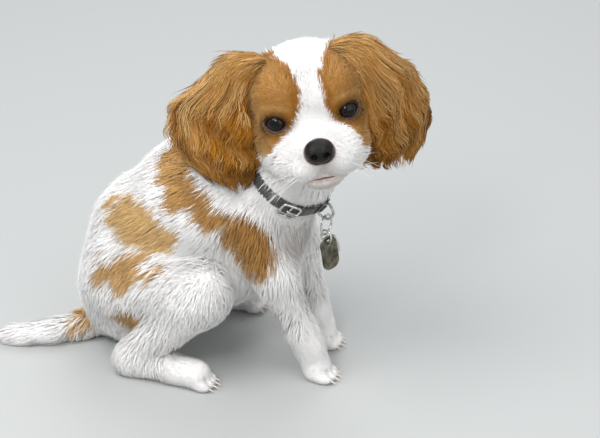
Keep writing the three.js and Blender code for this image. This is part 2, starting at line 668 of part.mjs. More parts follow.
// The ruff starts just under the collar and runs down the chest.
function ruffLocks() {
  random.state = 31;
  return RUFF.rows.flatMap((row, i) =>
    Array.from({ length: RUFF.count }, (_, k) => {
      const turn = RUFF.spread * (((k + (i % 2 ? 0.5 : 0.25)) / RUFF.count) * 2 - 1);
      const inside = v3(0, 0, row).applyMatrix4(frameOfCollar);
      const outwards = collarTurn(turn).transformDirection(frameOfCollar);
      const root = surfaceFrom(body, inside, outwards);
      const lie = () => COLLAR.axis.clone().multiplyScalar(-0.8).add(v3(-0.1, 0, -0.6));
      const length = RUFF.length * draw(0.85, 1.15);
      return combedLock(body, root, lie, { ...RUFF, length, width: RUFF.width * draw(0.85, 1.1) });
    }),
  );
}
// The fringe leaves both sides of the tail, backwards along the floor.
function fringeLocks() {
  random.state = 47;
  const line = new THREE.CatmullRomCurve3(TAIL.slice(1).map(({ at }) => at));
  return SIDES.flatMap((side) =>
    Array.from({ length: FRINGE.count }, (_, k) => {
      const t = 0.12 + (0.85 * (k + draw(0, 0.4))) / FRINGE.count;
      const [root, along] = [line.getPoint(t), line.getTangent(t)];
      const away = along.clone().cross(v3(0, 0, 1)).multiplyScalar(side * 0.75).add(along).normalize();
      const length = FRINGE.length * draw(0.8, 1.15);
      const path = Array.from({ length: LOCK_STEPS + 1 }, (_, i) => {
        const s = i / LOCK_STEPS;
        const bent = away.clone().lerp(along, 0.5 * s);
        const p = root.clone().addScaledVector(bent, length * (0.15 + s));
        p.z = THREE.MathUtils.lerp(root.z * 0.8, FRINGE.thick, s);
        return p;
      });
      return lock(path, path.map(() => v3(0, 0, 1)), FRINGE.width, FRINGE.thick);
    }),
  );
}

// Paws: four toes with claws, ahead of each foot.
function toesOf(paw) {
  return [-1.5, -0.5, 0.5, 1.5].flatMap((place) => {
    const at = v3(
      paw.x + TOE.reach - 0.9 * place * place,
      paw.y + (place * TOE.spread) / 3,
      TOE.r.z - 0.4,
    );
    const toe = new THREE.SphereGeometry(1, 7, 5).rotateX(Math.PI / 2);
    toe.scale(...TOE.r.toArray()).translate(at.x, at.y, at.z);
    const claw = new THREE.ConeGeometry(CLAW.r, CLAW.length, 5).rotateZ(-Math.PI / 2 - 0.35);
    claw.translate(at.x + TOE.r.x + CLAW.length / 2 - 2, at.y, at.z);
    return [solidOf(toe), solidOf(claw)];
  });
}
function hindLeg(side) {
  const low = v3(-125, side === LEFT ? 8 : -90, -14);
  const flesh = fleshOf(CELLS.hindLeg, low, v3(40, low.y + 82, 104));
  const leg = joined([flesh, ...toesOf(onSide(HIND_PAW, side).at)]);
  return largest(leg.intersect(haunchBlock(side)).intersect(floorUp).subtract(tailBlock(GAP)));
}
function foreLegSolid(side) {
  const low = v3(10, side === LEFT ? -4 : -62, -14);
  const flesh = fleshOf(CELLS.foreLeg, low, v3(100, low.y + 66, 96));
  const leg = joined([flesh, ...toesOf(onSide(FORE_PAW, side, foreStep(side)).at)]);
  return largest(leg.intersect(foreLegBlock(side)).intersect(floorUp));
}

const TRUNK_BOX = [v3(-125, -96, -16), v3(110, 96, 190)];
const frameOfWaist = new THREE.Matrix4().makeRotationY(radians(WAIST.lean)).setPosition(WAIST.at);
const inFrontOfWaist = (from) => block(v3(from, -FAR, -FAR), v3(FAR, FAR, FAR), frameOfWaist);
function trunkPiece(locks, cutters) {
  const flesh = joined([fleshOf(CELLS.torso, ...TRUNK_BOX), ...locks]);
  const haunches = SIDES.map((side) => haunchBlock(side, GAP));
  return largest(cutBy(flesh.intersect(floorUp), [...haunches, ...cutters]));
}
function torsoRear() {
  return trunkPiece([], [inFrontOfWaist(0), tailBlock(GAP)]);
}
function torsoFront() {
  const aboveCollar = between(NECK_CUTS.low - GAP, FAR, frameOfCollar);
  const front = trunkPiece(ruffLocks(), [aboveCollar, ...SIDES.map((side) => foreLegBlock(side, GAP))]);
  return largest(front.intersect(inFrontOfWaist(GAP)));
}
function neck() {
  const flesh = fleshOf(CELLS.neck, v3(-30, -80, 85), v3(110, 60, 215));
  const betweenCuts = between(NECK_CUTS.low, NECK_CUTS.high, frameOfCollar);
  return largest(flesh.intersect(betweenCuts).subtract(collarGroove()));
}
function tail() {
  const flesh = joined([fleshOf(CELLS.tail, v3(-168, -60, -12), v3(-80, 24, 40)), ...fringeLocks()]);
  return largest(flesh.intersect(tailBlock()).intersect(floorUp));
}

// The finished scene: one named mesh for each piece, shifted so that the origin is under its middle.
const dog = new THREE.Group();
function add(name, build, color, roughness = 0.85, metalness = 0) {
  const material = new THREE.MeshStandardMaterial({ color, roughness, metalness });
  const mesh = new THREE.Mesh(clean(build), material);
  mesh.name = name;
  dog.add(mesh);
}
const COAT = { white: 0xf1ece4, chestnut: 0xa8622c, eye: 0x1a110d, nose: 0x2b211f };
const METAL = { steel: 0xb9bab5, dark: 0x53534d };
add("torso_front", torsoFront, COAT.white);
add("torso_rear", torsoRear, COAT.white);
add("neck", neck, COAT.white);
add("head", headSolid, COAT.white);
add("nose", () => nosePad(), COAT.nose, 0.4);
for (const side of SIDES) {
  add(`eye_${sideName(side)}`, () => eyeball(side), COAT.eye, 0.05);
  add(`ear_${sideName(side)}`, () => ear(side), COAT.chestnut);
  add(`foreleg_${sideName(side)}`, () => foreLegSolid(side), COAT.white);
  add(`hindleg_${sideName(side)}`, () => hindLeg(side), COAT.white);
}
add("tail", tail, COAT.white);
add("collar", collar, 0x2a2624, 0.7);
add("buckle", buckle, METAL.steel, 0.3, 1);
add("d_ring", () => dRing(), METAL.steel, 0.3, 1);
add("tag_ring", () => ringAt(tagRingAt, TAG_RING), METAL.steel, 0.3, 1);
add("small_ring", () => ringAt(smallRingAt, SMALL_RING), METAL.steel, 0.3, 1);
add("tag_dark", () => tag(DARK_TAG), METAL.dark, 0.45, 1);
add("tag_pale", () => tag(PALE_TAG), METAL.steel, 0.35, 1);

const reach = new THREE.Box3().setFromObject(dog);
dog.position.set(-(reach.min.x + reach.max.x) / 2, -(reach.min.y + reach.max.y) / 2, -reach.min.z);

export default dog;
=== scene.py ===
"""A cavalier king charles spaniel puppy that sits and looks round at the camera, dressed over its frame.

Lengths are millimetres in the puppy's own frame, +X the way the chest faces, +Y its left.
`metres` turns them into the frame's metres.
"""
from itertools import product

import bpy
import numpy as np
from mathutils import Euler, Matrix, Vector
from mathutils.kdtree import KDTree


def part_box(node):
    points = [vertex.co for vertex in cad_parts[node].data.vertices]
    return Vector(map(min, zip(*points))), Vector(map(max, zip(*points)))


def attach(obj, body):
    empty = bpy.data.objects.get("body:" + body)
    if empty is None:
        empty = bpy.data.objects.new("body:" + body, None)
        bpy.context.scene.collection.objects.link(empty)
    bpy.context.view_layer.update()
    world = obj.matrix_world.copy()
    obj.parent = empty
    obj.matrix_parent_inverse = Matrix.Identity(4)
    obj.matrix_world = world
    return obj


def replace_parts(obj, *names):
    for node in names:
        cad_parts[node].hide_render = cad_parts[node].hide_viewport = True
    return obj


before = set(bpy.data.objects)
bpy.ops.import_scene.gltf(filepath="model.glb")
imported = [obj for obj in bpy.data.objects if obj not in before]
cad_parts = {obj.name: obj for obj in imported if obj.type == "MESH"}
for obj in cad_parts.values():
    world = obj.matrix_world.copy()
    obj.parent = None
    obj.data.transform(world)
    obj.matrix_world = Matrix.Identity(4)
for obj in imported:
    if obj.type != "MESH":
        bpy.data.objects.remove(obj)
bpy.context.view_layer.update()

random = np.random.default_rng(7)
RIGHT, LEFT = -1, 1
SIDES = {"right": RIGHT, "left": LEFT}
MM_IN_METRE = 1000


def point(*xyz):
    return np.array(xyz, float)


# The trunk: places inside it, and its radius there with the coat.
RUMP = (point(-62, 0, 42.5), 45)
LOIN = (point(-50, 0, 80), 42)
RIBS = (point(-14, 0, 112), 42)
WITHERS = (point(-4, 0, 134), 31)
BRISKET = (point(27, 0, 110), 33)
CHEST_LOW = (point(22, 0, 82), 29)
BELLY = (point(-12, 0, 70), 38)
NECK_BASE = (point(10, 0, 128), 35)
NECK_MID = (point(44, -8.5, 142.5), 29.5)
THROAT = (point(58, -18, 170), 27)

# Legs, given for the left side. The left fore foot stands a little behind the right one.
HIP = (point(-60, 26, 60), 33)
KNEE = (point(-5, 47, 64), 21)
HOCK = (point(-54, 50, 9.5), 11.5)
HIND_PAW = (point(-6, 55, 8.5), 10.5)
SHOULDER = (point(20, 24, 112), 24)
ELBOW = (point(41, 28, 76), 15)
WRIST = (point(62, 23, 26), 9.5)
FORE_PAW = (point(68, 22, 7.5), 10.5)
LEFT_FORE_STEP = -9
TOE = {"reach": 8, "spread": 14, "curve": 0.9, "sunk": 0.4, "r": point(6.5, 3.6, 4.2)}
TOES = (-1.5, -0.5, 0.5, 1.5)
CLAW = {"length": 4.4, "r": 0.8, "sunk": 1.8, "below": 0.4, "fall": 0.3, "hook": 1.9, "rings": 9}
TAIL = [
    (point(-82, -4, 16), 12),
    (point(-103, -17, 9), 10.5),
    (point(-119, -29, 7.4), 9),
    (point(-136, -36, 6), 7.6),
    (point(-151, -39, 4), 5.6),
]

# The head in its own frame: +X to the nose, +Y the puppy's left.
HEAD_AT = point(62.3, -21, 192.6)
HEAD_TURN, HEAD_PITCH, HEAD_ROLL = -69, 8, 9.7
EYE_AT, EYE_R = point(20.5, 21, 4), 8.6
EYE_OUTWARD, EYE_UPWARD = 16, 4
EYE_WIDE, EYE_HIGH = 13.4, 10.4
NOSE_AT, NOSE_R = point(54, 0, -9.5), point(8, 9, 8)
EARS = {
    "right": {
        "inner": [(-8, -16, 33), (-2, -33, 22), (1, -40, -4), (-2, -44, -26), (-8, -53, -43)],
        "outer": [(-10, -26, 46), (-17, -56, 40), (-27, -88, 13), (-20, -83, -17), (-8, -64, -40)],
    },
    "left": {
        "inner": [(-6, 16, 32), (7, 31, 19), (13, 36, -9), (10, 38, -30), (0, 43, -45)],
        "outer": [(-12, 24, 45), (-17, 50, 35), (-24, 71, 8), (-24, 72, -22), (-10, 59, -46)],
    },
}
EAR_CUP = 6
# How far an ear's outer edge reaches, as a share of its full width, at each place down it.
EAR_SHOULDER = {
    "right": ([0, 0.13, 0.32, 0.55, 1], [1.0, 1.12, 0.88, 1.0, 1.0]),
    "left": ([0, 0.13, 0.32, 0.55, 1], [0.66, 1.0, 0.87, 1.0, 1.0]),
}

# The collar, round the neck. Angles on it start at the front and run towards the puppy's left.
COLLAR_AT, COLLAR_R, COLLAR_WIDE, COLLAR_THICK = point(45, -8, 143), 30.6, 10, 2.4
COLLAR_UP = point(0.65, -0.25, 0.82)
COLLAR_AXIS = COLLAR_UP / np.linalg.norm(COLLAR_UP)


def norm(v):
    return np.linalg.norm(v, axis=-1)


def unit(v):
    return v / np.maximum(norm(v), 1e-9)[..., None]


def full_turn(count):
    return np.linspace(0, 2 * np.pi, count, endpoint=False)


def turned(z=0, y=0, x=0):
    """A turn about x, then y, then z, in degrees."""
    return np.array(Euler(np.radians((x, y, z)), "XYZ").to_matrix())


HEAD = turned(HEAD_TURN, -HEAD_PITCH, HEAD_ROLL)


def to_head(p):
    return (p - HEAD_AT) @ HEAD


def from_head(p):
    return np.asarray(p, float) @ HEAD.T + HEAD_AT


def to_half_head(p):
    """Places in the head's frame, with those on its right moved over to the left."""
    q = to_head(p)
    q[:, 1] = np.abs(q[:, 1])
    return q


def box_middle(node):
    low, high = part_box(node)
    return MM_IN_METRE / 2 * (np.array(low) + np.array(high))


# How far the puppy's own frame lies from the frame of the solids, by the right eye of both.
SHIFT = box_middle("eye_right") - from_head(EYE_AT * point(1, RIGHT, 1))


def metres(p):
    return (np.asarray(p, float) + SHIFT) / MM_IN_METRE


# Camera, floor and light.
CAMERA = {
    "azimuth": 17,
    "elevation": 27,
    "distance": 1400,
    "lens": 126,
    "sees_to": 20,
    "target": point(43.18, 20.12, 94.45),
}
LIGHTS = [
    # name, azimuth, elevation, distance, watts, size in metres
    ("key", -30, 60, 1300, 11.5, 0.8),
    ("fill", 62, 30, 1500, 6, 1.3),
    ("back", 190, 50, 1400, 8, 0.9),
    ("spark", 2, 42, 1300, 4.5, 0.26),
]
LIT = point(0, 0, 100)
SKY = {"Color": (0.92, 0.95, 1, 1), "Strength": 0.66}
FLOOR_SIZE = 8
FLOOR = {"Base Color": (0.44, 0.45, 0.44, 1), "Roughness": 0.9}


def look_from(azimuth, elevation, distance, target):
    a, e = np.radians((azimuth, elevation))
    return target + distance * point(np.sin(a) * np.cos(e), -np.cos(a) * np.cos(e), np.sin(e))


def aimed(thing, at, target):
    thing.location = metres(at)
    thing.rotation_euler = Vector(metres(target) - metres(at)).to_track_quat("-Z", "Y").to_euler()
    bpy.context.scene.collection.objects.link(thing)
    return thing


def make_camera():
    camera = bpy.data.cameras.new("camera")
    camera.lens = CAMERA["lens"]
    camera.clip_end = CAMERA["sees_to"]
    at = look_from(CAMERA["azimuth"], CAMERA["elevation"], CAMERA["distance"], CAMERA["target"])
    bpy.context.scene.camera = aimed(bpy.data.objects.new("camera", camera), at, CAMERA["target"])


def set_inputs(node, values):
    for key, value in values.items():
        node.inputs[key].default_value = value


def make_light():
    for name, azimuth, elevation, distance, watts, size in LIGHTS:
        lamp = bpy.data.lights.new(name, "AREA")
        lamp.energy = watts
        lamp.size = size
        at = look_from(azimuth, elevation, distance, LIT)
        aimed(bpy.data.objects.new(name, lamp), at, LIT)
    world = bpy.data.worlds.new("sky")
    world.use_nodes = True
    set_inputs(world.node_tree.nodes["Background"], SKY)
    bpy.context.scene.world = world
    bpy.context.scene.view_settings.view_transform = "Standard"


def make_floor():
    bpy.ops.mesh.primitive_plane_add(size=FLOOR_SIZE)
    floor = bpy.context.object
    floor.name = "floor"
    finish = bpy.data.materials.new("floor")
    finish.use_nodes = True
    set_inputs(finish.node_tree.nodes["Principled BSDF"], FLOOR)
    floor.data.materials.append(finish)


make_camera()
make_floor()
make_light()


# Soft bodies as fields: the distance from each of many points to a surface, negative inside.
def ball(place):
    return lambda p: norm(p - place[0]) - place[1]


def bone(a, b):
    """A rounded bar from one place to another, that swells or narrows between their radii."""
    along = b[0] - a[0]

    def field(p):
        t = np.clip((p - a[0]) @ along / (along @ along), 0, 1)
        return norm(p - a[0] - t[:, None] * along) - (a[1] + t * (b[1] - a[1]))

    return field


def chain(places):
    return [bone(a, b) for a, b in zip(places, places[1:])]


def rod(start, end, r, end_r=None):
    """A bone between two bare points, of one radius or of two."""
    return bone((point(*start), r), (point(*end), r if end_r is None else end_r))


def egg(at, radii):
    at, radii = point(*at), point(*radii)

    def field(p):
        q = (p - at) / radii
        near = norm(q)
        return near * (near - 1) / np.maximum(norm(q / radii), 1e-6)

    return field


def melt(reach, a, b):
    """The nearer of two distances, with the crease between them filled within a reach."""
    h = np.maximum(reach - np.abs(a - b), 0) / reach
    return np.minimum(a, b) - h * h * reach / 4


def carve(reach, flesh, cut):
    """Flesh without what lies in the cut, with the rim softened within a reach."""
    return -melt(reach, -flesh, cut)


def blend(reach, *fields):
    def field(p):
        least = fields[0](p)
        for other in fields[1:]:
            least = melt(reach, least, other(p))
        return least

    return field


def mirrored(field):
    return lambda p: field(np.column_stack((p[:, 0], np.abs(p[:, 1]), p[:, 2])))


def on_side(place, side, step=0):
    return place[0] * point(1, side, 1) + point(step, 0, 0), place[1]


def fore_places(side):
    step = LEFT_FORE_STEP if side == LEFT else 0
    return [
        on_side(SHOULDER, side),
        on_side(ELBOW, side, step / 3),
        on_side(WRIST, side, step),
        on_side(FORE_PAW, side, step),
    ]


def toe_places(paw):
    for place in TOES:
        x = paw[0] + TOE["reach"] - TOE["curve"] * place * place
        yield point(x, paw[1] + place * TOE["spread"] / 3, TOE["r"][2] - TOE["sunk"])


PAWS = {f"hind_{name}": on_side(HIND_PAW, side)[0] for name, side in SIDES.items()}
PAWS |= {f"fore_{name}": fore_places(side)[3][0] for name, side in SIDES.items()}

trunk = blend(16, *chain([RUMP, LOIN, RIBS, BRISKET]), bone(RIBS, WITHERS), ball(CHEST_LOW), ball(BELLY))
neck = blend(10, *chain([NECK_BASE, NECK_MID, THROAT]))
hind_legs = mirrored(blend(8, *chain([HIP, KNEE, HOCK, HIND_PAW])))
fore_legs = [blend(8, *chain(fore_places(side))) for side in (RIGHT, LEFT)]
skull = blend(
    10,
    egg((-8, 0, 9), (41, 36, 35.5)),
    egg((12, 15, 17), (19, 17, 18)),
    egg((4, 21, -12), (25, 16, 21)),
)
muzzle = blend(
    8,
    egg((35, 0, -12), (22, 16, 12)),
    egg((38, 11, -20), (17, 13, 12)),
    egg((25, 17, -20), (18, 15, 14)),
    egg((30, 0, -31), (22, 14, 9)),
)
head_local = mirrored(blend(9, skull, muzzle))


def head(p):
    return head_local(to_head(p))


tail = blend(5, *chain(TAIL))
toes = blend(1.2, *[egg(at, TOE["r"]) for paw in PAWS.values() for at in toe_places(paw)])
body = blend(12, trunk, hind_legs, *fore_legs, neck, head, tail)

# How the coat grows: its lie, how deep it stands over the skin, and the length of its hair.
BODY_GROOM = [
    # place, reach, lie, depth, length
    (RUMP[0], 45, (-0.25, 0, -1), 4.2, 14),
    (LOIN[0], 44, (-0.75, 0, -0.7), 4.2, 14),
    (RIBS[0], 42, (-0.8, 0, -0.55), 4.2, 14),
    (WITHERS[0], 31, (-0.8, 0, -0.6), 4.2, 14),
    (BRISKET[0], 33, (-0.1, 0, -1), 5, 21),
    (CHEST_LOW[0], 29, (-0.15, 0, -1), 4.6, 18),
    (BELLY[0], 38, (-0.6, 0, -0.8), 4, 12),
    (NECK_BASE[0], 35, (-0.6, 0.1, -0.8), 4.4, 15),
    (NECK_MID[0], 29.5, (-0.6, 0.25, -0.85), 4.2, 13),
    (THROAT[0], 27, (-0.6, 0.25, -0.85), 4, 12),
    (TAIL[0][0], 12, (-1, -0.6, -0.3), 4.2, 16),
    (TAIL[2][0], 9, (-1, -0.6, -0.1), 3.6, 18),
    (TAIL[4][0], 6, (-1, -0.25, 0), 2.4, 16),
]
LEG_GROOM = [
    (HIP[0], 33, (-0.35, 0, -1), 4, 12),
    (KNEE[0], 21, (-0.3, 0, -1), 3.2, 9),
    (HOCK[0], 11.5, (0.1, 0, -1), 2, 6.5),
    (HIND_PAW[0], 16, (1, 0, -0.4), 0.7, 2.8),
    (SHOULDER[0], 24, (-0.3, 0, -1), 4.4, 13),
    (ELBOW[0], 15, (-0.1, 0, -1), 3, 9),
    (WRIST[0], 9.5, (0.05, 0, -1), 1.6, 5),
    (FORE_PAW[0], 15, (1, 0, -0.5), 0.7, 2.8),
]
FACE_GROOM = [
    ((52, 0, 2), 8, (-1, 0, 0.3), 0.7, 2),
    ((38, 0, 3), 10, (-1, 0, 0.35), 1.0, 3),
    ((28, 0, 15), 12, (-0.6, 0, 0.8), 1.6, 4.5),
    ((14, 0, 36), 16, (-1, 0, 0.4), 2.2, 6.5),
    ((-14, 0, 44), 22, (-1, 0, -0.1), 2.8, 9),
    ((-46, 0, 12), 22, (-0.4, 0, -1), 4, 12),
    ((-30, 0, -18), 22, (-0.6, 0, -1), 4.5, 13),
    ((42, 0, -42), 12, (-1, 0, -0.4), 2, 6),
    ((20, 0, -40), 14, (-1, 0, -0.5), 3, 9),
]
CHEEK_GROOM = [
    ((50, 9, -22), 8, (-0.3, 0.5, -0.8), 1.2, 3.2),
    ((38, 17, -18), 10, (-0.8, 0.4, -0.4), 1.7, 4.6),
    ((24, 28, -18), 11, (-0.9, 0.2, -0.5), 2.4, 6.5),
    ((6, 34, -16), 13, (-0.8, 0.1, -0.7), 3.2, 9),
    ((27, 24, -7), 7, (-0.6, 0.55, -0.6), 1.0, 3.2),
    ((25, 20, 16), 8, (-0.7, 0.5, 0.6), 1.3, 4),
    ((33, 14, 2), 6, (-0.6, 0.3, 0.7), 0.9, 3),
    ((8, 31, 18), 9, (-0.4, 0.75, -0.35), 2.0, 7),
    ((-4, 32, 26), 12, (-0.3, 0.9, -0.2), 3.0, 12),
    ((-20, 34, 8), 18, (-0.7, 0.1, -0.75), 3, 10),
]


def groom_table():
    rows = list(BODY_GROOM)
    for side in (RIGHT, LEFT):
        flip = point(1, side, 1)
        rows += [(at * flip, r, lie * flip, depth, length) for at, r, lie, depth, length in LEG_GROOM]
    spots = FACE_GROOM + CHEEK_GROOM + [
        ((at[0], -at[1], at[2]), r, (lie[0], -lie[1], lie[2]), depth, length)
        for at, r, lie, depth, length in CHEEK_GROOM
    ]
    rows += [(from_head(at), r, HEAD @ point(*lie), depth, length) for at, r, lie, depth, length in spots]
    at, reach, lie, depth, length = (np.array(column, float) for column in zip(*rows))
    return at, reach, unit(lie), depth, length


GROOM_AT, GROOM_REACH, GROOM_LIE, GROOM_DEPTH, GROOM_LENGTH = groom_table()
GROOM_REST, GROOM_POWER = 0.12, 4


def groomed(p, *columns):
    """What the groom says at each point: a weighted mean of the rows near it."""
    total = 0
    sums = [0] * len(columns)
    for i, (at, reach) in enumerate(zip(GROOM_AT, GROOM_REACH)):
        weight = 1 / (GROOM_REST + ((p - at) ** 2).sum(1) / reach**2) ** GROOM_POWER
        total = total + weight
        for k, column in enumerate(columns):
            sums[k] = sums[k] + (weight[:, None] * column[i] if column.ndim > 1 else weight * column[i])
    return [s / (total[:, None] if s.ndim > 1 else total) for s in sums]


# Eyes and the openings of their lids.
def gaze(side):
    """The turn of an eye, +X out of it, and its middle."""
    turn = HEAD @ turned(side * EYE_OUTWARD, -EYE_UPWARD)
    return turn, from_head(EYE_AT * point(1, side, 1))


LID = {"over": 1.0, "melt": 4.5, "edge": 1.2, "slant": 0.06, "wider": 0.3, "lower": 0.2}
LID_STEEP, LID_FROM = 5.4, 2


def lids(p, flesh):
    """Lids over the eyes, open in an almond that is lower at its inner corner."""
    for side in SIDES.values():
        turn, at = gaze(side)
        q = (p - at) @ turn
        near = norm(q)
        flesh = melt(LID["melt"], flesh, near - EYE_R - LID["over"])
        y = q[:, 1] * side
        z = q[:, 2] - LID["slant"] * q[:, 1] * side
        wide = EYE_WIDE / 2 + LID["wider"]
        high = EYE_HIGH / 2 - LID["lower"] * np.where(z > 0, 0, 1)
        ring = np.sqrt((y / wide) ** 2 + (np.abs(z) / high) ** 2)
        opening = np.maximum((ring - 1) * LID_STEEP, LID_FROM - q[:, 0])
        flesh = carve(LID["edge"], flesh, opening)
    return flesh


MOUTH = [(18, 27, -31), (32, 22, -33), (46, 12, -29.6), (54, 0, -27.4)]
MOUTH_DEPTHS = (0.7, 1.4, 2.2)
MOUTH_DEEPER = 0.5
CREASE = ((60, 0, -29), (60, 0, -16), 0.9)


def mouth(p, flesh):
    """The line between the lips and the crease under the nose."""
    q = to_half_head(p)
    for start, end, deep in zip(MOUTH, MOUTH[1:], MOUTH_DEPTHS):
        flesh = carve(1.0, flesh, rod(start, end, deep, deep + MOUTH_DEEPER)(q))
    return carve(0.8, flesh, rod(*CREASE)(q))


TOE_GROOVE = [(4, 0, 9.2), (12, 0, 7.2), (15.5, 0, 1.5)]
TOE_GROOVE_R = 1.0
PAW_REACH = 30


def between_toes(p, flesh):
    for paw in PAWS.values():
        near = norm(p - paw) < PAW_REACH
        if not near.any():
            continue
        spot = p[near]
        for place in (-1, 0, 1):
            foot = point(paw[0] - 0.6 * abs(place), paw[1] + place * TOE["spread"] / 3, 0)
            for cut in chain([(foot + point(*at), TOE_GROOVE_R) for at in TOE_GROOVE]):
                flesh[near] = carve(1.6, flesh[near], cut(spot))
    return flesh


HEAD_REACH = 75


def skin_field(p):
    """The distance to the skin: the body with its toes, less the depth of the coat, with lids and mouth."""
    (depth,) = groomed(p, GROOM_DEPTH)
    flesh = between_toes(p, melt(2.5, body(p), toes(p)) + depth)
    near = norm(p - HEAD_AT) < HEAD_REACH
    if near.any():
        flesh[near] = mouth(p[near], lids(p[near], flesh[near]))
    return flesh


# The skin as a mesh: the field on a lattice that is finer round the head, and a net over its zero.
FINE, MIDDLE, ROUGH, BAND = 1.0, 2.4, 7.0, 12.0
BATCHES = 24
LATTICE_LOW, LATTICE_HIGH = point(-170, -90, -8), point(126, 90, 250)
HEAD_LOW, HEAD_HIGH = point(12, -88, 132), point(118, 44, 246)


def spread(low, fine_low, fine_high, high):
    """Places along an axis of the lattice."""
    parts = [np.arange(low, fine_low, MIDDLE), np.arange(fine_low, fine_high, FINE)]
    return np.concatenate(parts + [np.arange(fine_high, high, MIDDLE)])


class Lattice:
    """A field kept at the corners of a box of cells, and read between them."""

    def __init__(self, field):
        edges = zip(LATTICE_LOW, HEAD_LOW, HEAD_HIGH, LATTICE_HIGH)
        self.axes = [spread(low, a, b, high) for low, a, b, high in edges]
        rough = [np.arange(axis[0], axis[-1] + ROUGH, ROUGH) for axis in self.axes]
        values = field(self.corners(rough)).reshape([len(a) for a in rough])
        for k, axis in enumerate(self.axes):
            t = (axis - rough[k][0]) / ROUGH
            i = np.minimum(t.astype(int), len(rough[k]) - 2)
            t = (t - i).reshape([-1 if n == k else 1 for n in range(3)])
            values = (1 - t) * np.take(values, i, k) + t * np.take(values, i + 1, k)
        near = np.abs(values) < BAND
        where = self.place(np.argwhere(near))
        values[near] = np.concatenate([field(part) for part in np.array_split(where, BATCHES)])
        self.values = values

    @staticmethod
    def corners(axes):
        return np.stack(np.meshgrid(*axes, indexing="ij"), -1).reshape(-1, 3)

    def place(self, i):
        """Where the corners with these numbers along each axis lie."""
        return np.column_stack([self.axes[k][i[:, k]] for k in range(3)])

    def read(self, p):
        cell, t = [], []
        for k, axis in enumerate(self.axes):
            i = np.clip(np.searchsorted(axis, p[:, k]) - 1, 0, len(axis) - 2)
            cell.append(i)
            t.append(np.clip((p[:, k] - axis[i]) / (axis[i + 1] - axis[i]), 0, 1))
        total = 0
        for corner in product((0, 1), repeat=3):
            shares = [t[k] if far else 1 - t[k] for k, far in enumerate(corner)]
            here = tuple(cell[k] + far for k, far in enumerate(corner))
            total = total + shares[0] * shares[1] * shares[2] * self.values[here]
        return total

    def slope(self, p, step=1.2):
        rises = [self.read(p + step * axis) - self.read(p - step * axis) for axis in np.eye(3)]
        return unit(np.column_stack(rises))

    def net(self):
        """The corners and four-sided faces of the surface where the field is zero."""
        v = self.values
        inside = v < 0
        count = np.zeros([n - 1 for n in v.shape], int)
        for corner in product((0, 1), repeat=3):
            count += inside[tuple(slice(far, n - 1 + far) for far, n in zip(corner, v.shape))]
        mixed = np.argwhere((count > 0) & (count < 8))
        number = np.full(count.shape, -1)
        number[tuple(mixed.T)] = np.arange(len(mixed))
        sums, crossings = np.zeros((len(mixed), 3)), np.zeros(len(mixed))
        for k, a, b in product(range(3), (0, 1), (0, 1)):
            low = mixed + np.insert([a, b], k, 0)
            high = low + np.insert([0, 0], k, 1)
            va, vb = v[tuple(low.T)], v[tuple(high.T)]
            cut = (va < 0) != (vb < 0)
            t = (va[cut] / (va[cut] - vb[cut]))[:, None]
            sums[cut] += self.place(low[cut]) * (1 - t) + self.place(high[cut]) * t
            crossings[cut] += 1
        faces = []
        for k in range(3):
            here, there = [slice(1, -1)] * 3, [slice(1, -1)] * 3
            here[k], there[k] = slice(0, -1), slice(1, None)
            cut = np.argwhere(inside[tuple(here)] != inside[tuple(there)])
            cut += 1 - np.eye(3, dtype=int)[k]
            a, b = [n for n in range(3) if n != k]
            ring = []
            for s, t in [(0, 0), (1, 0), (1, 1), (0, 1)]:
                i = cut.copy()
                i[:, a] -= s
                i[:, b] -= t
                ring.append(number[tuple(i.T)])
            ring = np.column_stack(ring)
            out = inside[tuple(cut.T)] ^ (k == 1)
            ring[~out] = ring[~out][:, ::-1]
            faces.append(ring)
        return sums / crossings[:, None], np.concatenate(faces)


lattice = Lattice(skin_field)


# Markings: where the coat is tan, and how rich the tan is.
WAVES = 7


def ripple(p, size, seed):
    """Smooth noise from about -1 to 1, with features about `size` millimetres across."""
    waves = np.random.default_rng(seed)
    total = 0
    for _ in range(WAVES):
        direction = unit(waves.normal(size=3)) * 2 * np.pi / (size * waves.uniform(0.7, 1.5))
        total = total + np.sin(p @ direction + waves.uniform(0, 2 * np.pi))
    return total / (WAVES / 2)


def rise(x, low, high):
    """A smooth step from 0 at low to 1 at high."""
    t = np.clip((x - low) / (high - low), 0, 1)
    return t * t * (3 - 2 * t)


def hump(x, wide):
    """A smooth bell of height 1 over 0."""
    return np.exp(-((x / wide) ** 2))


# Patches on the body: middle, half sizes, turns about z and y in degrees, and how rich the tan is.
PATCHES = [
    ((-42, -34, 110), (33, 24, 14), (6, 8), 0.05),
    ((-53, -52, 80), (25, 17, 10.5), (8, -14), 0.25),
    ((-51, -54, 44), (10, 14, 9), (0, 0), 0.35),
    ((-20, -28, 150), (15, 18, 14), (0, 0), 0.45),
    ((-11, -38, 138), (14, 14, 13), (0, -30), 0.55),
    ((3, -42, 128), (10, 14, 14), (0, -40), 0.65),
    ((24, -44, 117), (16, 15, 13), (0, -24), 0.7),
    ((32, -44, 101), (13, 14, 17), (0, -8), 0.7),
    ((-42, 34, 112), (34, 24, 19), (-14, 18), 0.3),
    ((-78, 28, 70), (19, 20, 20), (0, 0), 0.35),
    ((6, 40, 108), (14, 18, 26), (0, -14), 0.45),
    ((-96, -10, 20), (16, 14, 10), (0, 0), 0.3),
]
PATCH_FADE = (-1.4, 1.6)
PATCH_STEEP, PATCH_FRAY = 0.6, 0.55


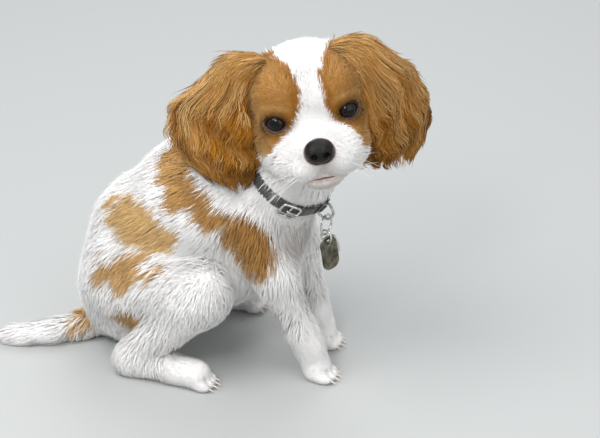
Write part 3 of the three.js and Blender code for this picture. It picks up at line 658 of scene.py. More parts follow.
def body_tan(p):
    """Tan and richness of the patches on the body."""
    most, rich = np.full(len(p), -9.0), np.zeros(len(p))
    edge = 3.4 * ripple(p, 13, 3) + 1.6 * ripple(p, 5, 4)
    for at, half, (about_z, about_y), richness in PATCHES:
        q = (p - point(*at)) @ turned(about_z, about_y) / point(*half)
        depth = (1 - norm(q)) * PATCH_STEEP * min(half) + edge * PATCH_FRAY
        better = depth > most
        most[better], rich[better] = depth[better], richness
    return rise(most, *PATCH_FADE), rich


# The blaze: its half width at each turn round the head's side, in degrees up from the nose.
BLAZE_TURNS = [-10, 5, 18, 26, 34, 43, 50, 60, 70, 78, 92, 104, 116, 124]
BLAZE_HALF = [24, 20, 12.4, 9, 7, 5.8, 7, 10, 13, 15.2, 17, 16.5, 8, -4]
BLAZE_ASIDE = 1.6
BLAZE_FROM = point(-5, 0, -10)
CHEEK_LINE = {"height": 4.5, "from": 9, "fall": 0.98, "to": 31, "behind": -17}
LEFT_CHEEK_LOWER, BACK_LOWER = 4.5, 9
HEAD_FADE = (-2, 2.2)


def head_tan(q):
    """Tan on the head, from places in its own frame, and how far each lies beside the blaze."""
    turn = np.degrees(np.arctan2(q[:, 2] - BLAZE_FROM[2], q[:, 0] - BLAZE_FROM[0]))
    across = np.abs(q[:, 1] - BLAZE_ASIDE * rise(turn, 10, 40))
    blaze = np.interp(turn, BLAZE_TURNS, BLAZE_HALF, right=-20)
    blaze = np.where(turn < -60, 30, blaze)
    edge = 1.3 * ripple(q, 9, 5) + 0.9 * ripple(q, 4, 6)
    beside = across - blaze + edge
    cheek = CHEEK_LINE["height"] - (across - CHEEK_LINE["from"]) * CHEEK_LINE["fall"]
    lowest = np.where(across < CHEEK_LINE["to"], cheek, CHEEK_LINE["behind"])
    lowest = lowest - LEFT_CHEEK_LOWER * rise(q[:, 1], 14, 28)
    lowest = lowest - BACK_LOWER * rise(-q[:, 0], -4, 30) + 2.5 * ripple(q, 12, 8)
    above = (q[:, 2] - lowest) * 0.75 + edge * 0.6
    return rise(np.minimum(beside, above), *HEAD_FADE), beside


RING_STEEP = 6
NO_RING = 99.0


def eye_ring(p):
    """About how far each point lies outside the nearer eye's lids, and how far inwards and above the eye."""
    nearest, inner, over = np.full(len(p), NO_RING), np.zeros(len(p)), np.zeros(len(p))
    for side in SIDES.values():
        turn, at = gaze(side)
        q = (p - at) @ turn
        y, z = q[:, 1] * side, q[:, 2]
        ring = (np.hypot(y / EYE_WIDE, z / EYE_HIGH) * 2 - 1) * RING_STEEP
        ring = np.where(q[:, 0] > -4, ring, NO_RING)
        closer = ring < nearest
        away = np.maximum(np.hypot(y, z), 1e-6)
        nearest[closer] = ring[closer]
        inner[closer] = (-y / away)[closer]
        over[closer] = (z / away)[closer]
    return nearest, inner, over


# How each part of the coat changes its richness, its tone and the cream in its white.
# The paler brow (brow) is painted light on the brow ridge.
RICH_OF = {"head": 0.86, "crown": 0.2, "blaze": 0.25, "ear": 0.2, "under eye": 0.22, "brow": 0.25}
TONE_OF = {
    "uneven": 0.16,
    # darker chest: partly painted shade under the head, partly its thinner greyish hair
    "chest": -0.6,
    # brighter brow: painted light on the brow ridge
    "brow": 0.16,
    # darker crease over the upper lid: painted shade
    "lid": 0.14,
    # brighter face beside the ears: painted light where the cheek turns away from the lamps
    "ear": 0.14,
    "under eye": 0.1,
    "dark": 0.75,
    "tear": 0.25,
}
CREAM_OF = {"chest": 0.27, "chin": 0.2, "uneven": 0.05}
CHEST = {"at": point(44, -12, 112), "shape": point(1.5, 2, 2.6), "reach": 14}
BESIDE_EYE = 12
TEAR_TAN, TEAR_RICH = 0.85, 1.15


def coat_marks(p, region):
    """Tan, richness, tone and cream of the coat at points of the skin. Some of the tone is painted light and
    shade: the darker chest, the brighter face beside the ears, the lit brows and the shaded creases over the
    lids.
    """
    q = to_head(p)
    on_head = region == REGIONS.index("head")
    tan, rich = body_tan(p)
    tan_on_head, beside_blaze = head_tan(q)
    tan = np.where(on_head, tan_on_head, tan)
    crown = rise(q[:, 2], 8, 40)
    by_blaze = hump(beside_blaze, 5) * rise(q[:, 2], -4, 8)
    by_ear = rise(np.abs(q[:, 1]), 25, 34)
    under_eye = rise(-q[:, 2], 2, 9)
    head_rich = RICH_OF["head"] - RICH_OF["crown"] * crown + RICH_OF["blaze"] * by_blaze
    # Paler beside the ears: partly painted light where the cheek turns away from the lamps, partly its own
    # yellowish tan.
    head_rich = head_rich - RICH_OF["ear"] * by_ear - RICH_OF["under eye"] * under_eye
    rich = np.where(on_head, head_rich, rich)
    # The chest is darker: partly painted shade under the head and partly its thinner greyish hair. Its cream
    # is its own colour.
    chest = norm((p - CHEST["at"]) / CHEST["shape"])
    chest = rise(CHEST["reach"] - chest, 0, CHEST["reach"])
    tone = TONE_OF["uneven"] * ripple(p, 22, 11) + TONE_OF["chest"] * chest
    chin = on_head * rise(-q[:, 2], 25, 38) * rise(q[:, 0], 10, 30)
    cream = CREAM_OF["chest"] * chest + CREAM_OF["chin"] * chin
    cream = cream + CREAM_OF["uneven"] * rise(ripple(p, 26, 12), 0, 1)
    ring, inner, over = eye_ring(p)
    beside_eye = on_head & (ring < BESIDE_EYE)
    # Painted light and shade round the eyes: a paler, brighter arc on the brow ridge and a darker crease just
    # over the upper lid.
    brow = beside_eye * rise(over, 0.2, 0.8)
    rich = rich - RICH_OF["brow"] * brow * hump(ring - 6, 2)
    tone = tone + TONE_OF["brow"] * brow * hump(ring - 6, 2) - TONE_OF["lid"] * brow * hump(ring - 2.6, 1.2)
    # Painted light: the face beside the ears is brightened where it turns away from the lamps.
    tone = tone + on_head * (TONE_OF["ear"] * by_ear - TONE_OF["under eye"] * under_eye)
    tear = beside_eye * rise(inner, 0.35, 0.9) * rise(-ring, -8, -2)
    dark = beside_eye * rise(-ring, -3.2, -0.3)
    tan = np.maximum(tan, TEAR_TAN * tear)
    rich = np.maximum(rich, np.maximum(TEAR_RICH * tear, dark))
    tone = tone - TONE_OF["dark"] * dark - TONE_OF["tear"] * tear
    return tan, rich, tone, cream


# Regions of the skin, by the nearest part of the body.
REGIONS = ["head", "neck", "trunk", "hind_right", "hind_left", "fore_right", "fore_left", "tail"]
HEAD_FIRST, TRUNK_FIRST, TAIL_FIRST = 1.5, 1, 1
ELSEWHERE = 99


def region_of(p):
    """The number of the region that each point belongs to."""
    left = p[:, 1] > 0
    hind, fore = hind_legs(p), [leg(p) for leg in fore_legs]
    distances = [
        head(p) - HEAD_FIRST,
        neck(p),
        trunk(p) - TRUNK_FIRST,
        np.where(left, ELSEWHERE, hind),
        np.where(left, hind, ELSEWHERE),
        fore[0],
        fore[1],
        tail(p) - TAIL_FIRST,
    ]
    return np.argmin(distances, 0)


# Meshes and their finishes.
def mesh_piece(name, corners, faces, finish, uv=None, marks=None, normals=None):
    """A piece of faces that all have the same number of corners, with its finish."""
    faces = np.asarray(faces, np.int32)
    mesh = bpy.data.meshes.new(name)
    mesh.vertices.add(len(corners))
    mesh.vertices.foreach_set("co", metres(corners).astype(np.float32).ravel())
    mesh.loops.add(faces.size)
    mesh.loops.foreach_set("vertex_index", faces.ravel())
    mesh.polygons.add(len(faces))
    mesh.polygons.foreach_set("loop_start", np.arange(0, faces.size, faces.shape[1], dtype=np.int32))
    mesh.polygons.foreach_set("use_smooth", np.ones(len(faces), bool))
    mesh.update(calc_edges=True)
    if uv is not None:
        layer = mesh.uv_layers.new(name="OFBake")
        layer.data.foreach_set("uv", uv[faces.ravel()].astype(np.float32).ravel())
    for key, values in (marks or {}).items():
        attribute = mesh.attributes.new(key, "FLOAT_COLOR", "POINT")
        attribute.data.foreach_set("color", values.astype(np.float32).ravel())
    if normals is not None:
        mesh.normals_split_custom_set_from_vertices(normals.astype(np.float32))
    mesh.materials.append(finish)
    piece = bpy.data.objects.new(name, mesh)
    bpy.context.scene.collection.objects.link(piece)
    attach(piece, "root")
    return piece


class Finish:
    """A material and short ways to add nodes to it."""

    def __init__(self, name, **sockets):
        self.material = bpy.data.materials.new(name)
        self.material.use_nodes = True
        self.tree = self.material.node_tree
        self.shader = self.tree.nodes["Principled BSDF"]
        for socket, value in sockets.items():
            self.shader.inputs[socket.replace("_", " ")].default_value = value

    def add(self, kind, inputs=(), **settings):
        node = self.tree.nodes.new(kind)
        for key, value in settings.items():
            setattr(node, key, value)
        for key, value in dict(inputs).items():
            self.put(node, key, value)
        return node

    def map_range(self, inputs, **settings):
        return self.add("ShaderNodeMapRange", inputs, **settings).outputs[0]

    def put(self, node, key, value):
        if isinstance(value, bpy.types.NodeSocket):
            self.tree.links.new(value, node.inputs[key])
        else:
            is_colour = isinstance(value, tuple) and len(value) == 3
            node.inputs[key].default_value = (*value, 1) if is_colour else value

    def mix(self, share, a, b, blend_type="MIX"):
        node = self.add("ShaderNodeMix", {0: share, 6: a, 7: b}, data_type="RGBA", blend_type=blend_type)
        return node.outputs[2]

    def sum(self, a, b, operation="ADD"):
        return self.add("ShaderNodeMath", {0: a, 1: b}, operation=operation).outputs[0]

    def channels(self, name):
        source = self.add("ShaderNodeAttribute", attribute_name=name)
        split = self.add("ShaderNodeSeparateColor", {0: source.outputs["Color"]})
        return [*split.outputs, source.outputs["Alpha"]]

    def place(self):
        return self.add("ShaderNodeTexCoord").outputs["Object"]

    def noise(self, scale, detail=3.0, stretch=None):
        where = self.place()
        if stretch:
            where = self.add("ShaderNodeMapping", {"Vector": where, "Scale": Vector(stretch)}).outputs[0]
        return self.add("ShaderNodeTexNoise", {"Vector": where, "Scale": scale, "Detail": detail}).outputs[0]

    def ramp(self, value, low, high):
        return self.map_range({0: value, 1: low, 2: high}, interpolation_type="SMOOTHSTEP")

    def bump(self, height, strength, distance):
        inputs = {"Height": height, "Strength": strength, "Distance": distance}
        self.put(self.shader, "Normal", self.add("ShaderNodeBump", inputs).outputs[0])

    def colour(self, value):
        self.put(self.shader, "Base Color", value)
        return self.material


# Finishes in soft spots of two colours: roughness, specular, scale of the spots, colours, scale and
# strength of the bumps.
MOTTLED = {
    "lid": (0.42, 0.35, 500.0, (0.008, 0.005, 0.004), (0.026, 0.014, 0.010), (1500.0, 0.2)),
    "lid_rim": (0.12, 0.6, 800.0, (0.07, 0.045, 0.04), (0.17, 0.12, 0.105), None),
    "lip": (0.38, 0.45, 350.0, (0.035, 0.019, 0.016), (0.15, 0.08, 0.068), (1300.0, 0.3)),
    "whisker": (0.4, 0.5, 300.0, (0.74, 0.71, 0.66), (0.92, 0.91, 0.89), None),
    "lash": (0.5, 0.5, 400.0, (0.02, 0.012, 0.008), (0.06, 0.03, 0.015), None),
    "thread": (0.7, 0.5, 900.0, (0.10, 0.11, 0.10), (0.22, 0.23, 0.21), None),
}
FINE_BUMP = 0.0002


def mottled(name):
    rough, specular, scale, dark, light, bumps = MOTTLED[name]
    finish = Finish(name, Roughness=rough, Specular_IOR_Level=specular)
    if bumps:
        bump_scale, strength = bumps
        finish.bump(finish.noise(bump_scale), strength, FINE_BUMP)
    return finish.colour(finish.mix(finish.noise(scale), dark, light))


WHITE_ROOT, WHITE_TIP = (0.86, 0.84, 0.81), (0.95, 0.935, 0.92)
PALE_ROOT, PALE_TIP = (0.47, 0.27, 0.10), (0.68, 0.45, 0.20)
RICH_ROOT, RICH_TIP = (0.15, 0.046, 0.004), (0.40, 0.162, 0.010)
BARE_PINK, BARE_DARK = (0.62, 0.36, 0.30), (0.032, 0.018, 0.014)
DARKEST, BRIGHTEST = 0.35, 1.65
GRAIN = {"scale": 900.0, "share": 0.16}


def coat_colour(finish, along):
    """The coat's colour from its marks: tan, richness and tone."""
    tan, rich, tone, _ = finish.channels("coat")
    white = finish.mix(along, WHITE_ROOT, WHITE_TIP)
    pale = finish.mix(along, PALE_ROOT, PALE_TIP)
    deep = finish.mix(along, RICH_ROOT, RICH_TIP)
    colour = finish.mix(tan, white, finish.mix(rich, pale, deep))
    shade = finish.map_range({0: tone, 3: DARKEST, 4: BRIGHTEST}, clamp=False)
    grain = finish.ramp(finish.noise(GRAIN["scale"], 2.0), 0.2, 0.8)
    grain = finish.map_range({0: grain, 3: 1 - GRAIN["share"] / 2, 4: 1 + GRAIN["share"] / 2}, clamp=False)
    shade = finish.sum(shade, grain, "MULTIPLY")
    bright = finish.add("ShaderNodeCombineColor", {0: shade, 1: shade, 2: shade}).outputs[0]
    return finish.mix(1.0, colour, bright, "MULTIPLY")


def make_coat_finish(name, sheen):
    finish = Finish(name, Roughness=0.7, Specular_IOR_Level=0.2, Sheen_Weight=sheen, Sheen_Roughness=0.4)
    along = finish.channels("coat")[3]
    return finish.colour(coat_colour(finish, along))


def make_skin_finish():
    """Short hair painted on the skin, and bare skin on the lids, lips and round the mouth."""
    finish = Finish("skin", Roughness=0.6, Specular_IOR_Level=0.3)
    fur = coat_colour(finish, 0.45)
    dark, pink, _, _ = finish.channels("bare")
    colour = finish.mix(pink, fur, BARE_PINK)
    finish.bump(finish.noise(700.0, 4.0), 0.35, 0.0006)
    return finish.colour(finish.mix(dark, colour, BARE_DARK))


COAT = make_coat_finish("coat", 0.06)
EAR_COAT = make_coat_finish("ear_coat", 0.03)
SKIN = make_skin_finish()


def marks_of(tan, rich, tone, along):
    return np.column_stack([tan, rich, np.clip(0.5 + 0.5 * tone, 0, 1), along])


def opaque(first, second=0, third=0):
    """Colours of a mark from one to three rows of numbers."""
    columns = np.broadcast_arrays(first, second, third, 1.0)
    return np.column_stack(columns)


# The skin.
SETTLE = {"probe": 0.15, "least": 0.2, "most": 0.6}


def settled(p, steps=2):
    """Points moved onto the skin's own field."""
    for _ in range(steps):
        value = skin_field(p)
        probe = SETTLE["probe"]
        rises = [skin_field(p + probe * axis) - skin_field(p - probe * axis) for axis in np.eye(3)]
        slope = np.column_stack(rises) / (2 * probe)
        step = value / np.maximum((slope**2).sum(1), SETTLE["least"])
        p = p - np.clip(step, -SETTLE["most"], SETTLE["most"])[:, None] * slope
    return p


UNDER_NOSE = ((57, 0, -29), (58, 0, -18), 0)


def lip_distance(p):
    """Each point in the head's frame, moved to its left, and how far it lies from the mouth's lines."""
    q = to_half_head(p)
    lines = [rod(start, end, 0)(q) for start, end in zip(MOUTH, MOUTH[1:])]
    return q, np.minimum(np.min(lines, 0), rod(*UNDER_NOSE)(q))


def bare_marks(p):
    """How dark the skin is at the lids, lips and nose, and how pink round them. The dark band along the
    mouth's line and under the nose is partly dark lip skin, partly painted shade in the line.
    """
    ring, _, _ = eye_ring(p)
    q, lip = lip_distance(p)
    front = rise(q[:, 0], 44, 53)
    # Along the mouth's line: partly dark lip skin, partly painted shade in the line.
    dark = np.maximum(rise(-ring, -1.5, 0.1), rise(-lip, -3.2 * front - 0.8, -0.8 * front) * front)
    nose = norm((q - NOSE_AT * point(1, 0, 1)) / NOSE_R)
    dark = np.maximum(dark, rise(-nose, -1.22, -1.05))
    pink = 0.6 * rise(-lip, -8, -2) * rise(q[:, 0], 38, 50) + 0.4 * rise(-nose, -1.7, -1.1)
    return opaque(dark, np.clip(pink, 0, 0.7))


FLOOR_GAP = 0.15


def make_skin():
    corners, faces = lattice.net()
    corners = settled(corners)
    corners[:, 2] = np.maximum(corners[:, 2], FLOOR_GAP)
    tan, rich, tone, cream = coat_marks(corners, region_of(corners))
    marks = {"coat": marks_of(np.maximum(tan, cream), rich, tone, 0 * tan), "bare": bare_marks(corners)}
    skin = mesh_piece("skin", corners, faces, SKIN, marks=marks)
    nodes = ["torso_front", "torso_rear", "neck", "head", "tail"]
    nodes += [f"{leg}_{side}" for leg in ("foreleg", "hindleg") for side in SIDES]
    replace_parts(skin, *nodes)
    return corners, faces


skin_corners, skin_faces = make_skin()


def joined(parts):
    corners, faces, start = [], [], 0
    for some_corners, some_faces in parts:
        corners.append(some_corners)
        faces.append(some_faces + start)
        start += len(some_corners)
    return np.vstack(corners), np.vstack(faces)


# Hair: closed spikes of three sides, laid along paths.
SPIKE_SIDES = 3
SPIKE_WIDTH = (0.72, 1.1, -1.45)
SPIKE_NORMALS = {"aside": 0.9, "up": 0.4, "up below": -0.3, "below": 0.3}


def spike_faces(sections):
    rings = [[SPIKE_SIDES * k + i for i in range(SPIKE_SIDES)] for k in range(sections)]
    tip, faces = SPIKE_SIDES * sections, [(0, 1, 2)]
    for low, high in zip(rings, rings[1:]):
        for i in range(SPIKE_SIDES):
            j = (i + 1) % SPIKE_SIDES
            faces += [(low[j], low[i], high[i]), (low[j], high[i], high[j])]
    faces += [(rings[-1][(i + 1) % SPIKE_SIDES], rings[-1][i], tip) for i in range(SPIKE_SIDES)]
    return np.array(faces)


def spikes(paths, outs, width, thick=0.3, soft=0.84):
    """Spikes along paths of shape (strand, place, xyz), with their normals turned towards the skin's.

    `soft` is how far they are turned, one number or one for each strand. Strands that are hardly turned
    are those whose underside shows, so their sides face down.
    """
    count, places, _ = paths.shape
    along = unit(np.gradient(paths, axis=1))
    side = unit(np.cross(along, outs))
    out = np.cross(side, along)
    s = np.linspace(0, 1, places)[:-1]
    wide = width[:, None] * (SPIKE_WIDTH[0] + SPIKE_WIDTH[1] * s + SPIKE_WIDTH[2] * s**2)
    across, up = side[:, :-1] * wide[..., None] / 2, out[:, :-1] * (thick * wide)[..., None]
    middle = paths[:, :-1]
    corners = np.stack([middle - across, middle + across, middle + up], 2).reshape(count, -1, 3)
    corners = np.concatenate([corners, paths[:, -1:]], 1)
    faces = spike_faces(places - 1)[None] + (np.arange(count) * corners.shape[1])[:, None, None]
    s, o, skin = SPIKE_NORMALS["aside"] * side[:, :-1], out[:, :-1], outs[:, :-1]
    soft = np.reshape(soft, (-1, 1, 1, 1))
    seen_below = soft < SPIKE_NORMALS["below"]
    low = np.where(seen_below, SPIKE_NORMALS["up below"], SPIKE_NORMALS["up"])[..., 0]
    normals = np.stack([low * o - s, low * o + s, o], 2)
    normals = unit((1 - soft) * normals + soft * skin[:, :, None]).reshape(count, -1, 3)
    tip = np.where(seen_below[:, 0], along[:, -1:], normals[:, -1:])
    normals = np.concatenate([normals, tip], 1)
    return corners.reshape(-1, 3), faces.reshape(-1, 3), normals.reshape(-1, 3)


def spike_corners(places):
    return SPIKE_SIDES * (places - 1) + 1


def along_spike(count, places):
    """How far along its strand each corner lies, from 0 to 1."""
    s = np.linspace(0, 1, places)
    return np.tile(np.append(np.repeat(s[:-1], SPIKE_SIDES), 1.0), count)


PATCH = 0.003


def spike_uv(root_uv, places):
    """A small patch of the map for each spike, at its root's place."""
    count = len(root_uv)
    u = np.tile(np.append(np.tile([0, 0.5, 1], places - 1), 0.5), count)
    spot = np.column_stack([u, along_spike(count, places)])
    return np.repeat(root_uv, spike_corners(places), 0) + PATCH * spot


# The map of the coat: a sheet of tiles, one for each region of the skin and side that it faces.
TILES = 8
TILE_RIM = 0.04
FACINGS = 6
EAR_TILES = FACINGS * len(REGIONS) + 2


def tile_uv(tile, x, y):
    """Places on the map, from places from 0 to 1 across and up a tile."""
    inside = np.clip(np.column_stack([x, y]), 0, 1) * (1 - 2 * TILE_RIM) + TILE_RIM
    return (inside + np.column_stack([tile % TILES, tile // TILES])) / TILES


def skin_uv(p, normal, region):
    """Places on the map for points of the skin, by their region and the way they face."""
    widest = np.argmax(np.abs(normal), 1)
    face = 2 * widest + (normal[np.arange(len(p)), widest] > 0)
    uv = np.zeros((len(p), 2))
    for tile in range(len(REGIONS)):
        here = region == tile
        if not here.any():
            continue
        low, high = p[here].min(0), p[here].max(0)
        placed = (p - low) / (high - low)
        for axis in range(3):
            a, b = [k for k in range(3) if k != axis]
            flat = here & (widest == axis)
            uv[flat] = tile_uv(FACINGS * tile + face[flat], placed[flat, a], placed[flat, b])
    return uv


def sown(count, weight):
    """Roots spread over the skin, thicker where the weight is more."""
    a, b, c, d = (skin_corners[skin_faces[:, k]] for k in range(4))
    area = norm(np.cross(c - a, d - b)) / 2 * weight
    total = np.cumsum(area)
    share = (np.arange(count) + random.uniform(size=count)) / count
    face = np.searchsorted(total, share * total[-1])
    face = np.minimum(face, len(area) - 1)
    u, v = random.uniform(size=(2, count, 1))
    return (1 - u) * ((1 - v) * a[face] + v * d[face]) + u * ((1 - v) * b[face] + v * c[face])


def leaders(places, per_lock):
    """The strand that leads each strand's lock: the nearest of some that are picked at random."""
    guides = random.choice(len(places), len(places) // per_lock, replace=False)
    tree = KDTree(len(guides))
    for i, guide in enumerate(guides):
        tree.insert(places[guide], i)
    tree.balance()
    return guides[[tree.find(at)[1] for at in places]]


def drawn(bounds, count):
    """A random number between two bounds for each of the strands."""
    return random.uniform(*bounds, count)


def uneven(leader, own, shared):
    """Random numbers with a part of each strand's own and a part that its lock shares."""
    count = len(leader)
    return own * random.normal(size=count) + shared * random.normal(size=count)[leader]


SUNK = 1.0
RISE_OF_HAIR = ([0, 0.2, 0.45, 0.75, 1], [0.05, 0.45, 0.75, 0.98, 1.1])


def laid_paths(roots, lie, depth, length, places):
    """Paths that start under the skin and follow the lie over it."""
    p, normal, heading = roots, lattice.slope(roots), lie
    path, normals = [roots - SUNK * normal], [normal]
    for s in np.linspace(0, 1, places)[1:]:
        heading = unit(heading - (heading * normal).sum(1, keepdims=True) * normal)
        p = p + heading * (length / (places - 1))[:, None]
        normal = lattice.slope(p)
        height = depth * np.interp(s, *RISE_OF_HAIR)
        p = p + (height - lattice.read(p))[:, None] * normal
        path.append(p)
        normals.append(normal)
    return np.stack(path, 1), np.stack(normals, 1)


STEADY = {"turn": 0.1, "share": 1.5, "spare": 2}


def steady(paths, normals, length):
    """Which strands stay on one part of the body, and don't leap over a fold to another."""
    run = norm(np.diff(paths[:, 1:], axis=1)).sum(1)
    turn = (normals[:, 0] * normals[:, -1]).sum(1)
    return (turn > STEADY["turn"]) & (run < STEADY["share"] * length + STEADY["spare"])


LOCK_POWER = 1.3


def pulled(paths, leader, pull):
    """Strands drawn to their leader's tip, so that they hang together as locks."""
    s = np.linspace(0, 1, paths.shape[1]) ** LOCK_POWER
    return paths + (paths[leader] - paths) * (pull[:, None] * s)[..., None]


# How hair meets the collar: the share that lies over it, and lengths from the band's edge and its outside.
AT_COLLAR = {
    "over": 0.015,
    "edge": 0.4,
    "reach": 14,
    "under": 2.6,
    "under rise": 6,
    "upon": 0.9,
    "upon fall": 1.3,
}


def by_collar(paths):
    """Hair that ends above the collar or runs under it, but for some that lies over it."""
    edge = COLLAR_WIDE / 2 + AT_COLLAR["edge"]
    along = (paths - COLLAR_AT) @ COLLAR_AXIS
    over = (along[:, 0] > edge) & (random.uniform(size=len(paths)) < AT_COLLAR["over"])
    share = (along[:, 0] - edge) / np.maximum(along[:, 0] - along.min(1), 1e-6)
    share = np.where((share > 0) & ~over, np.minimum(share, 1), 1)
    paths = paths[:, :1] + (paths - paths[:, :1]) * share[:, None, None]
    q = paths - COLLAR_AT
    along = q @ COLLAR_AXIS
    around = q - along[..., None] * COLLAR_AXIS
    r = norm(around)
    beyond = np.maximum(np.abs(along) - edge, 0)
    under = np.minimum(r, COLLAR_R - AT_COLLAR["under"] + AT_COLLAR["under rise"] * beyond)
    upon = np.maximum(r, COLLAR_R + AT_COLLAR["upon"] - AT_COLLAR["upon fall"] * beyond)
    reach = np.where(np.abs(along) < AT_COLLAR["reach"], np.where(over[:, None], upon, under), r)
    return paths + around * (reach / np.maximum(r, 1e-6) - 1)[..., None]


def strand_mesh(paths, outs, width, marks, uv, soft=0.84):
    """Corners, faces, normals, map and marks of many strands."""
    places = paths.shape[1]
    corners, faces, normals = spikes(paths, outs, width, soft=soft)
    columns = [np.repeat(value, spike_corners(places)) for value in marks]
    return corners, faces, normals, spike_uv(uv, places), marks_of(*columns, along_spike(len(paths), places))


def coat_piece(name, parts, finish=COAT):
    """One piece of hair, joined from meshes of strands."""
    corners, faces = joined([part[:2] for part in parts])
    normals, uv, marks = (np.vstack([part[k] for part in parts]) for k in (2, 3, 4))
    return mesh_piece(name, corners, faces, finish, uv=uv, marks={"coat": marks}, normals=normals)


def bare_places(p):
    """Where nothing grows: the eyes, the nose, the mouth's line and the soles."""
    ring, _, _ = eye_ring(p)
    q, lip = lip_distance(p)
    nose = norm((q - NOSE_AT) / (NOSE_R + 0.4))
    return (ring < 0.2) | (nose < 1) | ((lip < 1.0) & (q[:, 0] > 49)) | (p[:, 2] < 0.7)


# Longer hair on the skull beside each ear, that stands up and hides where the ear begins.
EAR_BORDER = {
    "right": [(-6, -25, 34), (0, -33, 24), (4, -38, 2), (3, -37, -12)],
    "left": [(-6, 24, 34), (0, 32, 25), (1, 35, 16)],
}
BORDER_REACH = 8
BORDER_HIGHER, BORDER_LONGER = 0.9, 0.7


def beside_ear(roots):
    """How near each root is to the border of an ear, from 0 to 1."""
    q = to_head(roots)
    borders = EAR_BORDER.values()
    lines = [rod(start, end, 0)(q) for border in borders for start, end in zip(border, border[1:])]
    return hump(np.min(lines, 0), BORDER_REACH)


COATS = {
    # name: region, half of the head or trunk or 0, strands, places, width, strands a lock, pull
    "coat_face": ("head", 1, 18500, 3, 0.34, 8, 0.15),
    "coat_skull": ("head", -1, 10500, 3, 0.46, 10, 0.22),
    "coat_neck": ("neck", 0, 14500, 3, 0.5, 20, 0.2),
    "coat_trunk_right": ("trunk", -1, 18500, 3, 0.52, 26, 0.16),
    "coat_trunk_left": ("trunk", 1, 15500, 3, 0.56, 26, 0.16),
    "coat_hindleg_right": ("hind_right", 0, 10500, 3, 0.48, 20, 0.16),
    "coat_hindleg_left": ("hind_left", 0, 9000, 3, 0.52, 20, 0.16),
    "coat_foreleg_right": ("fore_right", 0, 5200, 3, 0.46, 12, 0.2),
    "coat_foreleg_left": ("fore_left", 0, 4700, 3, 0.48, 12, 0.2),
    "coat_tail": ("tail", 0, 3000, 4, 0.54, 12, 0.4),
}
FACE_FROM = 2
LIE_SPREAD = 0.16
STRAYS, STRAY_DEPTH = 0.06, (1.05, 1.5)
DEPTH_RANGE, LENGTH_RANGE, PULL_RANGE, WIDTH_RANGE = (0.75, 1.02), (0.65, 1.2), (0.6, 1.3), (0.7, 1.25)
FULL_WIDTH_FROM = {"head": 4, "rest": 8}
TAN_UNEVEN, WHITE_UNEVEN = 1.1, 0.3
FLOOR_CLEAR = 0.6


def grown(name, part, roots):
    """The lie, depth and length of the hair at each root."""
    count = len(roots)
    lie, depth, long = groomed(roots, GROOM_LIE, GROOM_DEPTH, GROOM_LENGTH)
    lie = unit(lie + LIE_SPREAD * random.normal(size=lie.shape))
    stray = random.uniform(size=count) < STRAYS
    depth = depth * np.where(stray, drawn(STRAY_DEPTH, count), drawn(DEPTH_RANGE, count))
    long = long * drawn(LENGTH_RANGE, count)
    if name == "coat_face":
        q, lip = lip_distance(roots)
        near = np.where(q[:, 0] > 40, rise(lip, 0.3, 7), 1)
        depth, long = depth * (0.2 + 0.8 * near), long * (0.4 + 0.6 * near)
    if part == "head":
        near = beside_ear(roots)
        high = 1 + BORDER_HIGHER * rise(to_head(roots)[:, 2], 22, 34)
        depth = depth * (1 + near * high * drawn((0.4, 1.6), count))
        long = long * (1 + BORDER_LONGER * near)
    return lie, depth, long


def make_coats():
    middles = skin_corners[skin_faces].mean(1)
    region = region_of(middles)
    bare = bare_places(middles)
    halves = {"head": to_head(middles)[:, 0] - FACE_FROM, "trunk": middles[:, 1]}
    (length,) = groomed(middles, GROOM_LENGTH)
    for name, (part, half, count, places, width, per_lock, pull) in COATS.items():
        here = (region == REGIONS.index(part)) & ~bare
        if half:
            here &= halves[part] * half > 0
        roots = sown(count, here / length**0.6)
        roots = roots[~bare_places(roots)]
        lie, depth, long = grown(name, part, roots)
        paths, normals = laid_paths(roots, lie, depth, long, places)
        keep = steady(paths, normals, long)
        roots, long, paths, normals = (a[keep] for a in (roots, long, paths, normals))
        count = len(roots)
        leader = leaders(roots, per_lock)
        paths = pulled(paths, leader, pull * drawn(PULL_RANGE, count))
        if part in ("neck", "trunk", "head"):
            paths = by_collar(paths)
        paths[..., 2] = np.maximum(paths[..., 2], FLOOR_CLEAR)
        spots = np.full(count, REGIONS.index(part))
        tan, rich, tone, cream = coat_marks(roots, spots)
        tone = tone + uneven(leader, 0.14, 0.1) * np.where(tan > 0.5, TAN_UNEVEN, WHITE_UNEVEN)
        tan = np.maximum(np.clip(0.5 + 3 * (tan - drawn((0.15, 0.85), count)), 0, 1), cream)
        uv = skin_uv(roots, normals[:, 0], spots)
        full = FULL_WIDTH_FROM.get(part, FULL_WIDTH_FROM["rest"])
        wide = width * drawn(WIDTH_RANGE, count) * np.clip(long / full, 0.5, 1)
        coat_piece(name, [strand_mesh(paths, normals, wide, (tan, rich, tone), uv)])


make_coats()


# Smooth curves.
def between(a, b, c, d, f):
    """Places on a smooth curve from b to c, with a before and d after them."""
    return 0.5 * (2 * b + (c - a) * f + (2 * a - 5 * b + 4 * c - d) * f**2 + (3 * b - a - 3 * c + d) * f**3)


def curve(points):
    """A smooth curve through points, as a function of the place from 0 to 1 along it."""
    points = np.array(points, float)
    points = np.vstack([2 * points[0] - points[1], points, 2 * points[-1] - points[-2]])
    last = len(points) - 4

    def at(t):
        x = t * (last + 1)
        i = np.clip(np.floor(x).astype(int), 0, last)
        return between(*(points[i + k] for k in range(4)), (x - i)[..., None])

    return at


